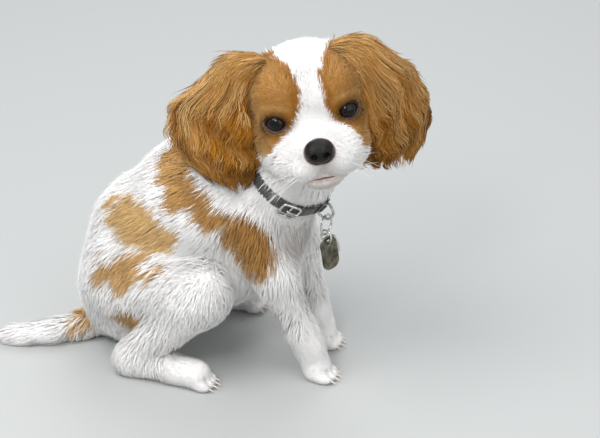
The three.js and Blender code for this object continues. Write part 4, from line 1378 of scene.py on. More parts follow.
# The ears: a sheet of leather between two edges, with long hair on both faces.
def ear_sheet(name):
    """A function that places things on an ear: `u` across it, `t` down it, and how far they lift off."""
    inner, outer, side = curve(EARS[name]["inner"]), curve(EARS[name]["outer"]), SIDES[name]

    def flat(u, t):
        return inner(t) * (1 - u)[..., None] + outer(t) * u[..., None]

    def place(u, t, lift):
        u, t = np.asarray(u, float), np.asarray(t, float)
        u = u * np.interp(t, *EAR_SHOULDER[name])
        across = outer(t) - inner(t)
        down = flat(u, t + 0.02) - flat(u, t - 0.02)
        facing = unit(-side * np.cross(across, down))
        lift = lift + EAR_CUP * np.sin(np.pi * np.clip(u, 0, 1))
        return from_head(flat(u, t) + facing * lift[..., None]), facing @ HEAD.T

    return place


EAR_LEATHER = {"thick": 3.2, "inner": -0.05, "across": 0.8, "down": 0.66, "rows": 26, "around": 32}
EAR_FACES = {"front": 1, "back": -1}
# Two kinds of hair. Start and length are shares of the way down the ear, and the width is in millimetres.
EAR_HAIR = {
    "feather": {
        "strands": {"front": 2300, "back": 1200},
        "places": 6,
        "start": (0.2, 0.76),
        "length": (0.2, 0.36),
        "base": 1.2,
        "rising": 5.5,
        "width": 0.62,
        "farthest": 1.0,
        "a lock": 22,
        "aside": 0.03,
        "fan": 0.02,
        "wave": 1,
        "pull": 0.5,
    },
    "fluff": {
        "strands": {"front": 4000, "back": 2000},
        "places": 4,
        "start": (-0.02, 0.66),
        "length": (0.1, 0.19),
        "base": 0.8,
        "rising": 4.2,
        "width": 0.52,
        "farthest": 0.95,
        "a lock": 9,
        "aside": 0.075,
        "fan": 0.09,
        "wave": 0.4,
        "pull": 0.2,
    },
}
EAR_INNER = {"right": -0.06, "left": -0.33}
EAR_ROOT = 0.03
# Width of the painted shade along an ear's inner edge, in the crease where it meets the face.
EAR_EDGE_SHADE = 0.13
EAR_END = {"at": 0.99, "uneven": 0.05, "round": 0.1, "middle": 0.45, "shortest": 0.12}
EAR_WAVE = {"turns": 27, "across": 0.06, "lift": 1.5, "behind": 1.7}
# Sizes of an ear in millimetres, for finding neighbours on it.
EAR_SPAN = point(55, 85, 0)
PIERCE = 0.6
# The part of an ear's width that the roots start from, as they gather towards where it joins the head.
ROOT_SPAN, EAR_FLARE = (0.02, 0.82), 0.9
ROOT_UPWARD, LONGEST_STEP = 1.8, 2
# Richness and tone of the ear's hair. Its top and outer margin are paler and its lower part darker: partly
# the ear's own colour, partly painted light from above.
EAR_RICH = {"root": 0.5, "down": 0.62, "inwards": 0.3, "edge": 0.4, "lock": 0.2}
EAR_TONE = {"own": 0.12, "lock": 0.2, "edge": 0.25, "low edge": 0.35, "wave": 0.3, "low": 0.12}


def make_ear_leather(name, place):
    rows, around = EAR_LEATHER["rows"], EAR_LEATHER["around"]
    down, turns = np.linspace(0.04, 0.995, rows), full_turn(around)
    t, turn = np.meshgrid(down, turns, indexing="ij")
    narrowing = np.sqrt(1 - t**3)
    across = EAR_LEATHER["across"] - EAR_LEATHER["inner"]
    u = EAR_LEATHER["inner"] + across * (0.5 - 0.5 * narrowing * np.cos(turn))
    u = u * (0.5 + 0.5 * rise(t, -0.1, 0.4))
    lift = EAR_LEATHER["thick"] / 2 * narrowing * np.sin(turn)
    corners = place(u, EAR_LEATHER["down"] * t, lift)[0].reshape(-1, 3)
    faces = []
    for row, k in product(range(rows - 1), range(around)):
        a, b = row * around + k, row * around + (k + 1) % around
        faces.append((a, b, b + around, a + around))
    for row in (0, rows - 1):
        ring = [row * around + k for k in range(around)]
        faces += [(ring[k], ring[k + 1], ring[-2 - k], ring[-1 - k]) for k in range(around // 2 - 1)]
    ones = np.ones(len(corners))
    marks = {"coat": marks_of(ones, 0.7 * ones, 0 * ones, 0.6 * ones)}
    return mesh_piece(f"ear_leather_{name}", corners, faces, EAR_COAT, marks=marks)


SKIN_GAP, MOST_MOVED = 0.9, 6


def clear_of_skin(paths):
    p = paths.reshape(-1, 3)
    short = np.clip(SKIN_GAP - lattice.read(p), 0, MOST_MOVED)
    near = short > 0
    p[near] += short[near, None] * lattice.slope(p[near])
    return p.reshape(paths.shape)


def ear_roots(name, hair, count):
    """Where each strand starts down the ear and across it, where the ear's edge is there, and its length."""
    start = drawn(hair["start"], count)
    inner = EAR_INNER[name] * (1 - 0.75 * rise(start, 0.4, 0.7))
    across = inner + random.uniform(size=count) * (hair["farthest"] - inner)
    across = np.where(start < 0.02, 0.35 + 0.6 * random.uniform(size=count), across)
    long = drawn(hair["length"], count)
    end = EAR_END["at"] + EAR_END["uneven"] * random.normal(size=count)
    end = end - EAR_END["round"] * np.abs(across - EAR_END["middle"])
    return start, inner, across, np.minimum(long, np.maximum(end - start, EAR_END["shortest"]))


def ear_lift(kind, s, start, height):
    """How far a strand lifts off the leather along its length."""
    rising = EAR_HAIR[kind]["rising"] * height[:, None]
    if kind == "feather":
        return EAR_HAIR[kind]["base"] + rising * np.sin(np.pi * np.clip(0.08 + 0.72 * s, 0, 1))
    return EAR_HAIR[kind]["base"] + rising * s**0.8 * (1.4 - start[:, None])


def ear_paths(name, place, face, kind, roots, leader):
    """Paths of strands on an ear, the way they face, their places down it and the phase of their waves."""
    hair, side = EAR_HAIR[kind], EAR_FACES[face]
    start, inner, across, long, spot = roots
    count = len(start)
    phase = 2.4 * ripple(spot, 46, 31 + side) + 0.35 * random.normal(size=count)
    height = 0.5 * drawn((0.1, 1), count) + 0.5 * drawn((0.1, 1), count)[leader]
    aside = uneven(leader, hair["aside"], 0.05) + hair["fan"] * (across - 0.35)
    s = np.linspace(0, 1, hair["places"])
    t = start[:, None] + long[:, None] * s
    turn = phase[:, None] + EAR_WAVE["turns"] * t
    wave = np.clip(2.5 * s, 0, 1) * hair["wave"] * rise(t, 0.1, 0.5)
    u = (1 - t) * (ROOT_SPAN[0] + ROOT_SPAN[1] * across[:, None]) + t * across[:, None]
    u = 0.5 + (u - 0.5) * (1 + EAR_FLARE * np.clip(t, 0, 1) ** 6)
    u = u + EAR_WAVE["across"] * wave * np.sin(turn) + aside[:, None] * s
    lift = ear_lift(kind, s, start, height) + EAR_WAVE["lift"] * wave * np.sin(turn + EAR_WAVE["behind"])
    lift = side * lift * np.clip(1.25 - np.abs(u - 0.5), 0.35, 1)
    paths, outs = place(u, t, lift)
    paths = pulled(paths, leader, hair["pull"] * drawn((0.4, 1.3), count))
    high = (lattice.read(paths[:, 0]) + PIERCE) * (start < EAR_ROOT)
    paths[:, 0] -= high[:, None] * lattice.slope(paths[:, 0])
    paths[:, 1:] = clear_of_skin(paths[:, 1:])
    return paths, outs, t, phase


def ear_strands(name, place, face, kind):
    """Hair of one kind on one face of an ear."""
    hair, side = EAR_HAIR[kind], EAR_FACES[face]
    count = hair["strands"][face]
    start, inner, across, long = ear_roots(name, hair, count)
    spot = np.column_stack([across, start, 0 * across]) * EAR_SPAN
    leader = leaders(spot, hair["a lock"])
    roots = start, inner, across, long, spot
    paths, outs, t, phase = ear_paths(name, place, face, kind, roots, leader)
    edge = hump(across - inner, EAR_EDGE_SHADE)
    # Paler towards the top and outer margin, richer lower down and inwards: partly the ear's own colour,
    # partly painted light from above.
    rich = EAR_RICH["root"] + EAR_RICH["down"] * start + EAR_RICH["inwards"] * (0.6 - across)
    # Painted shade: hair along the inner edge is richer and darker, for the shadow in the crease between ear
    # and face.
    rich = rich + EAR_RICH["edge"] * edge + EAR_RICH["lock"] * random.normal(size=count)[leader]
    at_edge = EAR_TONE["edge"] + EAR_TONE["low edge"] * rise(start, 0.1, 0.4)
    tone = uneven(leader, EAR_TONE["own"], EAR_TONE["lock"]) - at_edge * edge
    # Painted light and shade on the waves: lighter bands on the crests of the locks, darker in the hollows
    # between them.
    tone = tone + EAR_TONE["wave"] * np.sin(phase + EAR_WAVE["turns"] * start) * rise(start, 0.2, 0.5)
    # Darker low on the ear: partly its own colour, partly painted shade.
    tone = tone - EAR_TONE["low"] * rise(start, 0.45, 0.75)
    uv = tile_uv(EAR_TILES + 2 * (name == "left") + (side < 0), across, start / 0.8)
    width = hair["width"] * drawn(WIDTH_RANGE, count)
    by_root = 1 - rise(t, 0.0, 0.17)
    outs = unit(outs * side + ROOT_UPWARD * by_root[..., None] * HEAD[:, 2])
    rim = rise(np.abs(across - 0.4), 0.3, 0.55)
    soft = 0.5 * (1 - rim) * (1 - rise(t[:, -1], 0.8, 0.98)) + 0.04
    steps = norm(np.diff(paths, axis=1)).max(1)
    keep = steps < LONGEST_STEP * np.median(steps)
    paths, outs, width, rich, tone, uv, soft = (a[keep] for a in (paths, outs, width, rich, tone, uv, soft))
    return strand_mesh(paths, outs, width, (np.ones(len(paths)), rich, tone), uv, soft)


def make_ear(name):
    place = ear_sheet(name)
    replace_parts(make_ear_leather(name, place), f"ear_{name}")
    for face in EAR_FACES:
        parts = [ear_strands(name, place, face, kind) for kind in EAR_HAIR]
        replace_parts(coat_piece(f"ear_{face}_{name}", parts, EAR_COAT), f"ear_{name}")


for side_name in SIDES:
    make_ear(side_name)


# Rings joined into closed pieces.
def loft(rings, looped=False):
    """Corners and triangles of a skin over rings of points, closed at its ends or into a loop."""
    rings = np.asarray(rings, float)
    rows, around, _ = rings.shape
    corners = rings.reshape(-1, 3)
    row, k = np.meshgrid(np.arange(rows if looped else rows - 1), np.arange(around), indexing="ij")
    a = (row * around + k).ravel()
    b = (row * around + (k + 1) % around).ravel()
    c, d = (b + around) % (rows * around), (a + around) % (rows * around)
    faces = [np.column_stack([a, b, c]), np.column_stack([a, c, d])]
    if not looped:
        k = np.arange(around)
        low, high = len(corners), len(corners) + 1
        corners = np.vstack([corners, rings[0].mean(0), rings[-1].mean(0)])
        end = (rows - 1) * around
        faces.append(np.column_stack([(k + 1) % around, k, np.full(around, low)]))
        faces.append(np.column_stack([end + k, end + (k + 1) % around, np.full(around, high)]))
    return corners, np.vstack(faces)


def tube(path, r, sides=12, looped=False, up=(0, 0, 1), flat=1.0):
    """A tube along a path. `flat` is its depth across `up`, as a share of its width."""
    path = np.asarray(path, float)
    r = np.broadcast_to(r, len(path))
    steps = np.roll(path, -1, 0) - np.roll(path, 1, 0) if looped else np.gradient(path, axis=0)
    along = unit(steps)
    side = unit(np.cross(along, up))
    over = np.cross(side, along)
    turn = full_turn(sides)[None, :, None]
    around = np.cos(turn) * side[:, None] + flat * np.sin(turn) * over[:, None]
    return loft(path[:, None] + r[:, None, None] * around, looped)


def outward(corners, faces):
    """The faces of a closed part, turned to face out of it."""
    a, b, c = (corners[faces[:, k]] for k in range(3))
    volume = np.einsum("ij,ij->i", a, np.cross(b, c)).sum()
    return faces if volume > 0 else faces[:, ::-1]


def solid_piece(name, parts, finish, place=None, marks=None):
    """A piece joined from closed parts, moved by a turn and a place."""
    corners, faces = joined([(c, outward(c, f)) for c, f in parts])
    if place:
        turn, at = place
        corners = corners @ turn.T + at
    return mesh_piece(name, corners, faces, finish, marks=marks)


# Eyes, with the rims of their lids.
CORNEA = {"rise": 0.9, "reach": 34}
IRIS = [
    # degrees from the middle of the eye, colour
    (0, (0.002, 0.002, 0.002)),
    (19, (0.002, 0.002, 0.002)),
    (22, (0.009, 0.004, 0.002)),
    (33, (0.020, 0.009, 0.004)),
    (40, (0.008, 0.004, 0.003)),
    (43, (0.004, 0.003, 0.003)),
    (48, (0.05, 0.035, 0.03)),
    (57, (0.12, 0.085, 0.075)),
]


def make_eye_finish():
    finish = Finish("eye", Roughness=0.03, Specular_IOR_Level=0.26)
    turn = finish.channels("iris")[0]
    streaks = finish.sum(finish.noise(2200.0, 2.0), 0.012, "MULTIPLY")
    ramp = finish.add("ShaderNodeValToRGB", {0: finish.sum(turn, streaks)})
    stops = ramp.color_ramp.elements
    while len(stops) < len(IRIS):
        stops.new(0.5)
    for stop, (angle, colour) in zip(stops, IRIS):
        stop.position = angle / 90
        stop.color = (*colour, 1)
    return finish.colour(ramp.outputs[0])


EYE = make_eye_finish()
EYE_ROWS, EYE_SIDES, EYE_SUNK = 64, 72, 0.35


def make_eye(name):
    turn = np.radians(np.linspace(0.4, 179.6, EYE_ROWS))
    r = EYE_R - EYE_SUNK + CORNEA["rise"] * np.exp(-((np.degrees(turn) / CORNEA["reach"]) ** 4))
    around = full_turn(EYE_SIDES)
    ahead, aside = r * np.cos(turn), (r * np.sin(turn))[:, None]
    ahead = np.broadcast_to(ahead[:, None], (EYE_ROWS, EYE_SIDES))
    rings = np.stack([ahead, aside * np.cos(around), aside * np.sin(around)], -1)
    angle = np.append(np.repeat(np.degrees(turn) / 90, EYE_SIDES), (0, 2))
    marks = {"iris": opaque(angle)}
    ball = solid_piece(f"eye_{name}_ball", [loft(rings)], EYE, gaze(SIDES[name]), marks)
    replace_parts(ball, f"eye_{name}")


LID_PATH = {"wider": 0.1, "lower": 0.1, "flat": 0.12, "corner": 0.35, "inwards": 1.1, "down": 0.5}


def lid_path(name, reach=1.0, lift=0.0, count=72):
    """The edge of the opening of the lids, in the eye's own frame."""
    side = SIDES[name]
    turn = full_turn(count)
    y = reach * (EYE_WIDE / 2 + LID_PATH["wider"]) * np.cos(turn)
    z = reach * (EYE_HIGH / 2 - LID_PATH["lower"]) * np.sin(turn) * (1 - LID_PATH["flat"] * np.cos(turn) ** 2)
    inner = hump(turn - np.pi, LID_PATH["corner"])
    y, z = y - LID_PATH["inwards"] * inner, z - LID_PATH["down"] * inner
    z = z + LID["slant"] * y
    x = np.sqrt(np.maximum((EYE_R + lift) ** 2 - y**2 - z**2, 1))
    return np.column_stack([x, y * side, z])


RIM = {"lift": 0.35, "r": 0.62}
WET_LINE = {"reach": 0.935, "lift": 0.42, "r": 0.2, "from": 50, "to": 94}
DUCT = [(3.9, 8.4, -0.9), (3.0, 7.4, -0.7), (2.2, 6.2, -0.4)]
DUCT_R = [0.5, 0.8, 0.5]
OUT_OF_EYE = (1, 0, 0)
LID_STEPS = 96


def make_lids():
    """The dark rim of the lids, the wet line inside the lower one, and the flesh in the inner corner."""
    leather, wet = mottled("lid"), mottled("lid_rim")
    for name, side in SIDES.items():
        rim = tube(lid_path(name, 1.0, RIM["lift"]), RIM["r"], 10, True, OUT_OF_EYE)
        opening = lid_path(name, WET_LINE["reach"], WET_LINE["lift"], LID_STEPS)
        edge = opening[WET_LINE["from"] : WET_LINE["to"]]
        thin = np.sin(np.linspace(0.1, np.pi - 0.1, len(edge))) ** 0.5
        line = tube(edge, WET_LINE["r"] * thin, 8, False, OUT_OF_EYE)
        solid_piece(f"lid_rim_{name}", [line], wet, gaze(side))
        duct = tube([(EYE_R - x, -side * y, z) for x, y, z in DUCT], DUCT_R, 8)
        solid_piece(f"lid_{name}", [rim, duct], leather, gaze(side))


# The nose: a pad with wings, and nostrils with a slit to the side.
NOSE_REACH, NOSE_FINE = 12, 0.45
NOSE_WING = ((0.8, 4.4, 0.9), (6.6, 4.6, 5.2))
NOSTRIL = ((7.2, 3.9, -1.2), (3.6, 2.0, 1.9))
NOSTRIL_SLIT = ((7.2, 4.6, -2), (4.2, 9, -3.4), 0.9, 0.55)
NOSE_CREASE = ((8.6, 0, -9), (9, 0, -2), 0.7, 0.35)


def nose_field(p):
    q = p.copy()
    q[:, 1] = np.abs(q[:, 1])
    pad = blend(3, egg((0, 0, 0.4), NOSE_R * point(1, 0.84, 0.96)), egg(*NOSE_WING))(q)
    for reach, cut in ((1.6, egg(*NOSTRIL)), (1.0, rod(*NOSTRIL_SLIT)), (1.2, rod(*NOSE_CREASE))):
        pad = carve(reach, pad, cut(q))
    return pad


class Nose(Lattice):
    """The field of the nose, on an even lattice of its own."""

    def __init__(self):
        self.axes = [np.arange(-NOSE_REACH, NOSE_REACH, NOSE_FINE)] * 3
        self.values = nose_field(self.corners(self.axes)).reshape([len(a) for a in self.axes])


def make_nose():
    leather = Finish("nose", Roughness=0.34, Specular_IOR_Level=0.17)
    cells = leather.add("ShaderNodeTexVoronoi", {"Vector": leather.place(), "Scale": 1500.0}).outputs[0]
    worn = leather.ramp(leather.noise(260.0), 0.35, 0.75)
    leather.bump(cells, 0.55, 0.0004)
    leather.colour(leather.mix(worn, (0.006, 0.005, 0.0045), (0.015, 0.012, 0.011)))
    corners, faces = Nose().net()
    pad = mesh_piece("nose_pad", from_head(corners + NOSE_AT), faces, leather.material)
    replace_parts(pad, "nose")


LIPS = {"from": 0.415, "to": 0.585, "steps": 40, "thin": 0.15, "full": 0.45}


def make_lips():
    right = [(x, -y, z) for x, y, z in MOUTH]
    along = np.linspace(LIPS["from"], LIPS["to"], LIPS["steps"])
    line = settled(from_head(curve(right + MOUTH[-2::-1])(along)), 3)
    full = np.sin(np.pi * np.linspace(0, 1, LIPS["steps"])) ** 0.7
    lips = tube(line, LIPS["thin"] + LIPS["full"] * full, 10, False, HEAD[:, 0])
    solid_piece("lips", [lips], mottled("lip"))


# Whiskers and lashes: single hairs.
WHISKERS = {
    "strands": 13,
    "x": (41, 53),
    "y": (9, 15),
    "z": (-27, -16),
    "heading": ((-0.25, 0.5), (0.7, 1), (-0.5, 0.1)),
    "back": (-0.4, -0.15),
    "down": (-0.3, 0),
    "length": (16, 31),
    "width": 0.24,
}
LASHES = {
    "reach": 1.03,
    "lift": 0.7,
    "from": 6,
    "to": 42,
    "heading": point(0.35, 1, 1),
    "uneven": 0.15,
    "length": (1.6, 3.2),
    "droop": (0.1, 0, -0.35),
    "width": 0.26,
}


def arc_paths(roots, heading, length, droop, places=8):
    s = np.linspace(0, 1, places)[None, :, None]
    length = length[:, None, None]
    return roots[:, None] + heading[:, None] * length * s + droop[:, None] * length * s**2


def single_hairs(paths, up, width):
    """Corners and faces of hairs of one width, whose ridge faces one way."""
    return spikes(paths, np.broadcast_to(up, paths.shape), np.full(len(paths), width), 0.8)[:2]


def make_whiskers():
    count = WHISKERS["strands"]
    parts = []
    for side in SIDES.values():
        flip = point(1, side, 1)
        roots = np.column_stack([drawn(WHISKERS[axis], count) for axis in "xyz"]) * flip
        out = unit(np.column_stack([drawn(bounds, count) for bounds in WHISKERS["heading"]]) * flip)
        back, down = drawn(WHISKERS["back"], count), drawn(WHISKERS["down"], count)
        droop = np.column_stack([back, np.zeros(count), down])
        paths = arc_paths(roots, out, drawn(WHISKERS["length"], count), droop)
        parts.append(single_hairs(from_head(paths), HEAD[:, 2], WHISKERS["width"]))
    solid_piece("whiskers", parts, mottled("whisker"))


def make_lashes():
    parts = []
    for name, side in SIDES.items():
        edge = lid_path(name, LASHES["reach"], LASHES["lift"], LID_STEPS)[LASHES["from"] : LASHES["to"]]
        out = unit(edge * LASHES["heading"] + LASHES["uneven"] * random.normal(size=edge.shape))
        droop = np.tile(LASHES["droop"], (len(edge), 1))
        turn, at = gaze(side)
        paths = arc_paths(edge, out, drawn(LASHES["length"], len(edge)), droop, 5) @ turn.T + at
        parts.append(single_hairs(paths, turn[:, 0], LASHES["width"]))
    solid_piece("lashes", parts, mottled("lash"))


# Claws: curved and tapered, one ahead of each toe.
def make_claws():
    horn = Finish("claw", Roughness=0.32, Specular_IOR_Level=0.5, Coat_Weight=0.3)
    grain = horn.noise(500.0, 3.0)
    horn.bump(grain, 0.3, FINE_BUMP)
    horn.colour(horn.mix(grain, (0.62, 0.52, 0.44), (0.82, 0.74, 0.67)))
    for name, paw in PAWS.items():
        parts = []
        for at in toe_places(paw):
            s = np.linspace(0, 1, CLAW["rings"])
            x = at[0] + TOE["r"][0] - CLAW["sunk"] + CLAW["length"] * s
            z = at[2] - CLAW["below"] - CLAW["fall"] * s - CLAW["hook"] * s**2
            path = np.column_stack([x, np.full(len(s), at[1]), z])
            parts.append(tube(path, CLAW["r"] * (1 - 0.9 * s**1.6), 10))
        solid_piece(f"claws_{name}", parts, horn.material)


for eye_name in SIDES:
    make_eye(eye_name)
make_lids()
make_nose()
make_lips()
make_whiskers()
make_lashes()
make_claws()


# The collar: woven webbing with stitched edges and keepers, a D ring, a buckle, two rings and two tags.
FRONT = unit(point(1, 0, 0) - COLLAR_AXIS[0] * COLLAR_AXIS)
COLLAR_TURN = np.column_stack([FRONT, np.cross(COLLAR_AXIS, FRONT), COLLAR_AXIS])
BUCKLE = {"wide": 13, "long": 14, "bar": 1.6, "thick": 1.8, "turn": -72, "corner": 2.2}
PRONG = {"from": -0.6, "beyond": 0.2, "r": (0.8, 0.45), "height": 1.15, "fall": 0.5}
PRONG_EYE = {"r": 1.25, "wire": 0.62}
D_RING = {"wide": 12, "deep": 8, "wire": 0.9, "turn": -20}
D_OUTLINE = [(0, -0.4), (0, 0.4), (0.35, 0.5), (0.95, 0.25), (0.95, -0.25), (0.35, -0.5)]
TAG_RING = {"r": 6.6, "wire": 0.9, "facing": -14}
SMALL_RING = {"r": 4.2, "wire": 0.7, "facing": 65}
TAG_FACING = -35
TAG_HOLE = {"r": 2, "from": 3.2}
DARK_TAG = {"wide": 13, "long": 24, "thick": 1.4, "corner": 5.5, "aside": 1, "swing": 10}
PALE_TAG = {"wide": 14, "long": 19, "thick": 1.2, "corner": 6, "aside": -1, "swing": 22}


def on_band(degrees, lift=0.0):
    """A turn and a place on the band's outside: +X along the band, +Y up the neck, +Z outwards."""
    a = np.radians(degrees)
    out, along = point(np.cos(a), np.sin(a), 0), point(-np.sin(a), np.cos(a), 0)
    turn = COLLAR_TURN @ np.column_stack([along, (0, 0, 1), out])
    return turn, COLLAR_AT + COLLAR_TURN @ (out * (COLLAR_R + lift))


def squared(x, power):
    """A wave whose crests are flatter, the less the power is."""
    return np.sign(x) * np.abs(x) ** power


def band_rings(start, end, steps, inner, outer, half):
    """Rings of webbing with rounded edges, round part of the collar."""
    around = full_turn(20)
    middle, deep = (inner + outer) / 2, (outer - inner) / 2
    r = middle + deep * squared(np.sin(around), 0.7)
    z = half * squared(np.cos(around), 0.45)
    turns = np.radians(np.linspace(start, end, steps))
    return [np.column_stack([r * np.cos(a), r * np.sin(a), z]) for a in turns]


WEBBING_OUTER, WEBBING_HALF = COLLAR_R - 0.5, COLLAR_WIDE / 2
YARN = {"along": 1.5, "across": 1.3}
# Angles on the band: its free end by the buckle, and the keepers beside the buckle and the D ring.
FREE_END = (BUCKLE["turn"] - 6, BUCKLE["turn"] + 38)
KEEPERS = (BUCKLE["turn"] + 16, D_RING["turn"] - 7, D_RING["turn"] + 7)
KEEPER_HALF = 2.6
FOLD = {"r": 1.9, "half": 3, "lift": 0.6, "sides": 24, "rings": 8}
STITCHES = {"count": 64, "span": (0.1, 0.75), "points": 7, "sunk": 0.55, "high": 0.32, "in": 1.3, "r": 0.24}


def make_webbing_finish():
    webbing = Finish("collar", Roughness=0.72, Specular_IOR_Level=0.3, Sheen_Weight=0.3)
    u, v = webbing.channels("weave")[:2]
    weave = webbing.sum(webbing.sum(u, 0.0, "SINE"), webbing.sum(v, 0.0, "SINE"), "MULTIPLY")
    worn = webbing.ramp(webbing.noise(180.0, 4.0), 0.45, 0.75)
    yarn = webbing.mix(webbing.ramp(weave, -0.7, 0.8), (0.012, 0.012, 0.010), (0.055, 0.052, 0.042))
    webbing.bump(weave, 0.8, 0.0004)
    return webbing.colour(webbing.mix(worn, yarn, (0.085, 0.088, 0.075)))


def make_band():
    """The band, its free end, three keepers and the fold that holds the D ring."""
    inner, outer, half = COLLAR_R - COLLAR_THICK, WEBBING_OUTER, WEBBING_HALF
    parts = [loft(band_rings(0, 360, 241, inner, outer, half)[:-1], True)]
    parts.append(loft(band_rings(*FREE_END, 60, outer - 0.3, COLLAR_R + 0.55, half - 0.5)))
    for degrees in KEEPERS:
        ends = (degrees - KEEPER_HALF, degrees + KEEPER_HALF)
        parts.append(loft(band_rings(*ends, 12, outer - 0.2, COLLAR_R + 1.1, half + 0.35)))
    turn, at = on_band(D_RING["turn"], FOLD["lift"])
    round_fold = full_turn(FOLD["sides"])
    x, z = FOLD["r"] * np.cos(round_fold), FOLD["r"] * np.sin(round_fold)
    rows = np.linspace(-FOLD["half"], FOLD["half"], FOLD["rings"])
    corners, faces = loft([np.column_stack([x, np.full(len(x), y), z]) for y in rows])
    parts.append(((corners @ turn.T + at - COLLAR_AT) @ COLLAR_TURN, faces))
    corners, faces = joined([(c, outward(c, f)) for c, f in parts])
    a = np.arctan2(corners[:, 1], corners[:, 0])
    weave_u = a * COLLAR_R * 2 * np.pi / YARN["along"]
    weave_v = corners[:, 2] * 2 * np.pi / YARN["across"]
    marks = {"weave": opaque(weave_u, weave_v)}
    corners = corners @ COLLAR_TURN.T + COLLAR_AT
    band = mesh_piece("collar_band", corners, faces, make_webbing_finish(), marks=marks)
    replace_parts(band, "collar")


def make_stitching():
    count, points = STITCHES["count"], STITCHES["points"]
    r = COLLAR_R - STITCHES["sunk"] + STITCHES["high"] * np.sin(np.linspace(0, np.pi, points))
    stitches = []
    for row, k in product((-1, 1), range(count)):
        a = np.radians(360 * (k + np.linspace(*STITCHES["span"], points)) / count)
        z = np.full(points, row * (WEBBING_HALF - STITCHES["in"]))
        stitches.append(tube(np.column_stack([r * np.cos(a), r * np.sin(a), z]), STITCHES["r"], 6))
    solid_piece("collar_stitching", stitches, mottled("thread"), (COLLAR_TURN, COLLAR_AT))


DULL = 0.55


def make_metal(name, tint, worn_tint, rough):
    """Metal with fine scratches and a dull patina in spots."""
    finish = Finish(name, Metallic=1.0, Roughness=rough)
    scratches = finish.noise(900.0, 6.0, (1, 1, 0.12))
    patina = finish.ramp(finish.noise(160.0, 4.0), 0.4, 0.7)
    finish.bump(scratches, 0.12, FINE_BUMP)
    colour = finish.mix(finish.ramp(scratches, 0.35, 0.7), tint, worn_tint)
    finish.put(finish.shader, "Roughness", finish.map_range({0: patina, 3: rough, 4: rough + 0.2}))
    return finish.colour(finish.mix(patina, colour, tuple(DULL * c for c in tint)))


def rounded_outline(wide, long, corner, count=72):
    """Points round a plate with round corners, evenly spread by their direction from its middle."""
    x, y = wide / 2 - corner, long / 2 - corner
    points = []
    for quarter, (cx, cy) in enumerate([(x, y), (-x, y), (-x, -y), (x, -y)]):
        turn = np.radians(90 * quarter + np.linspace(0, 90, count // 4))
        points += [(cx + corner * np.cos(a), cy + corner * np.sin(a)) for a in turn]
    return np.array(points)


def make_buckle(steel):
    """A frame with a middle bar, and a prong whose eye turns on the bar."""
    wide, long, bar, thick = (BUCKLE[k] for k in ("wide", "long", "bar", "thick"))
    outline = rounded_outline(long - bar, wide - bar, BUCKLE["corner"], 64)
    outline = np.column_stack([outline, 0.12 * np.cos(outline[:, 0] / long * np.pi)])
    parts = [tube(outline, bar / 2, 12, True, flat=thick / bar)]
    ends = np.linspace(-wide / 2 + bar / 2, wide / 2 - bar / 2, 12)
    parts.append(tube([(0, y, 0) for y in ends], bar / 2.2, 12))
    places = np.linspace(PRONG["from"], long / 2 + PRONG["beyond"], 16)
    prong = [(x, 0, PRONG["height"] - PRONG["fall"] * (x / long) ** 2) for x in places]
    parts.append(tube(prong, np.linspace(*PRONG["r"], 16), 10))
    turn = full_turn(24)
    eye = PRONG_EYE["r"] * np.column_stack([np.cos(turn), 0 * turn, np.sin(turn)])
    parts.append(tube(eye, PRONG_EYE["wire"], 8, True, (0, 1, 0)))
    piece = solid_piece("buckle_frame", parts, steel, on_band(BUCKLE["turn"], thick / 2 + 0.6))
    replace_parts(piece, "buckle")


def closed_curve(points, count):
    """Places spread along a smooth closed curve through points."""
    points = np.array(points, float)
    t = np.linspace(0, len(points), count, endpoint=False)
    i = t.astype(int)
    around = [points[(i + k) % len(points)] for k in (-1, 0, 1, 2)]
    return between(*around, (t - i)[:, None])


def hung(facing, node):
    """A turn and a place for what hangs at the middle of a CAD node, turned by degrees about the upright."""
    a = np.radians(facing)
    x = point(np.cos(a), np.sin(a), 0)
    return np.column_stack([x, np.cross((0, 0, 1), x), (0, 0, 1)]), box_middle(node) - SHIFT


SPLIT = {"beside": 0.46, "steep": 1.4, "width": 0.8, "flat": 0.58}
SMALL_GAP, SMALL_ASIDE = 0.03, 0.1


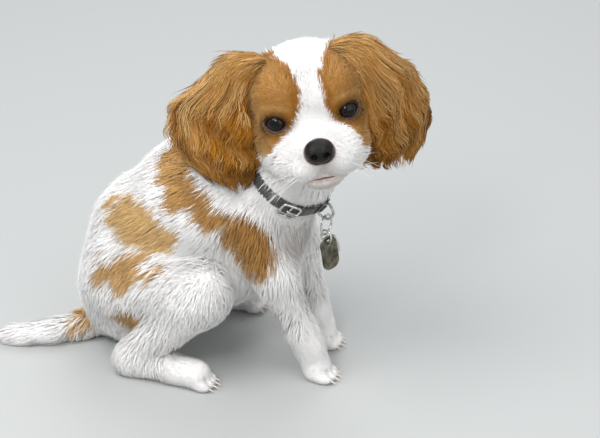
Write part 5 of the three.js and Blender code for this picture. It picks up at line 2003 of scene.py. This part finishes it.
def make_rings(steel):
    wide, deep, wire = D_RING["wide"], D_RING["deep"], D_RING["wire"]
    path = closed_curve([(0, y * wide, z * deep) for z, y in D_OUTLINE], 72)
    part = tube(path, wire, 12, True, (1, 0, 0))
    piece = solid_piece("d_ring_wire", [part], steel, on_band(D_RING["turn"], wire + 0.3))
    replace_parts(piece, "d_ring")
    # The tag ring is a split ring: two turns of flat wire side by side.
    turn = np.linspace(0, 4 * np.pi, 130)
    r, wire = TAG_RING["r"], TAG_RING["wire"]
    aside = SPLIT["beside"] * wire * np.tanh((turn - 2 * np.pi) * SPLIT["steep"])
    path = np.column_stack([aside, r * np.cos(turn), r * np.sin(turn)])
    part = tube(path, SPLIT["width"] * wire, 10, False, (1, 0, 0), SPLIT["flat"])
    place = hung(TAG_RING["facing"], "tag_ring")
    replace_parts(solid_piece("tag_ring_coil", [part], steel, place), "tag_ring")
    turn = np.linspace(SMALL_GAP, 2 * np.pi - SMALL_GAP, 72)
    r = SMALL_RING["r"]
    path = np.column_stack([SMALL_ASIDE * np.cos(turn / 2), r * np.cos(turn), r * np.sin(turn)])
    part = tube(path, SMALL_RING["wire"], 12, False, (1, 0, 0))
    place = hung(SMALL_RING["facing"], "small_ring")
    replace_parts(solid_piece("small_ring_wire", [part], steel, place), "small_ring")


TAG_TOP = [
    # share of the way from the hole to the rim, millimetres in from the rim, share of half the thickness
    (1, 0, 0.55),
    (1, 0.18, 0.9),
    (1, 0.45, 1),
    (1, 0.95, 1),
    (1, 1.25, 0.72),
    (0.5, 0, 0.72),
    (0.08, 0, 0.72),
    (0, 0, 0.5),
]
TAG_UNDER = [(share, inset, -height) for share, inset, height in reversed(TAG_TOP)]
TAG_PROFILE = TAG_UNDER[-1:] + TAG_TOP + TAG_UNDER[:-1]


def make_tag(name, size, finish):
    """A plate with rounded rims and a hole, that hangs from the small ring."""
    rim = rounded_outline(size["wide"], size["long"], size["corner"], 96)
    hole_at = point(0, size["long"] / 2 - TAG_HOLE["from"])
    inward = unit(hole_at - rim)
    hole = hole_at - TAG_HOLE["r"] * inward
    rings = []
    for share, inset, height in TAG_PROFILE:
        flat = hole + share * (rim + inset * inward - hole)
        rings.append(np.column_stack([flat, np.full(len(rim), height * size["thick"] / 2)]))
    corners, faces = loft(rings, True)
    hangs = TAG_HOLE["from"] - size["long"] / 2 - SMALL_RING["r"]
    corners = corners[:, [2, 0, 1]] + point(size["aside"], 0, hangs)
    turn, at = hung(TAG_FACING, "small_ring")
    place = turn @ turned(x=size["swing"]), at
    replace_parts(solid_piece(name + "_plate", [(corners, faces)], finish, place), name)


make_band()
make_stitching()
STEEL = make_metal("steel", (0.62, 0.62, 0.60), (0.80, 0.80, 0.78), 0.24)
make_buckle(STEEL)
make_rings(STEEL)
make_tag("tag_dark", DARK_TAG, make_metal("tag", (0.15, 0.14, 0.10), (0.26, 0.24, 0.19), 0.46))
make_tag("tag_pale", PALE_TAG, make_metal("tag_steel", (0.55, 0.55, 0.53), (0.75, 0.75, 0.72), 0.34))
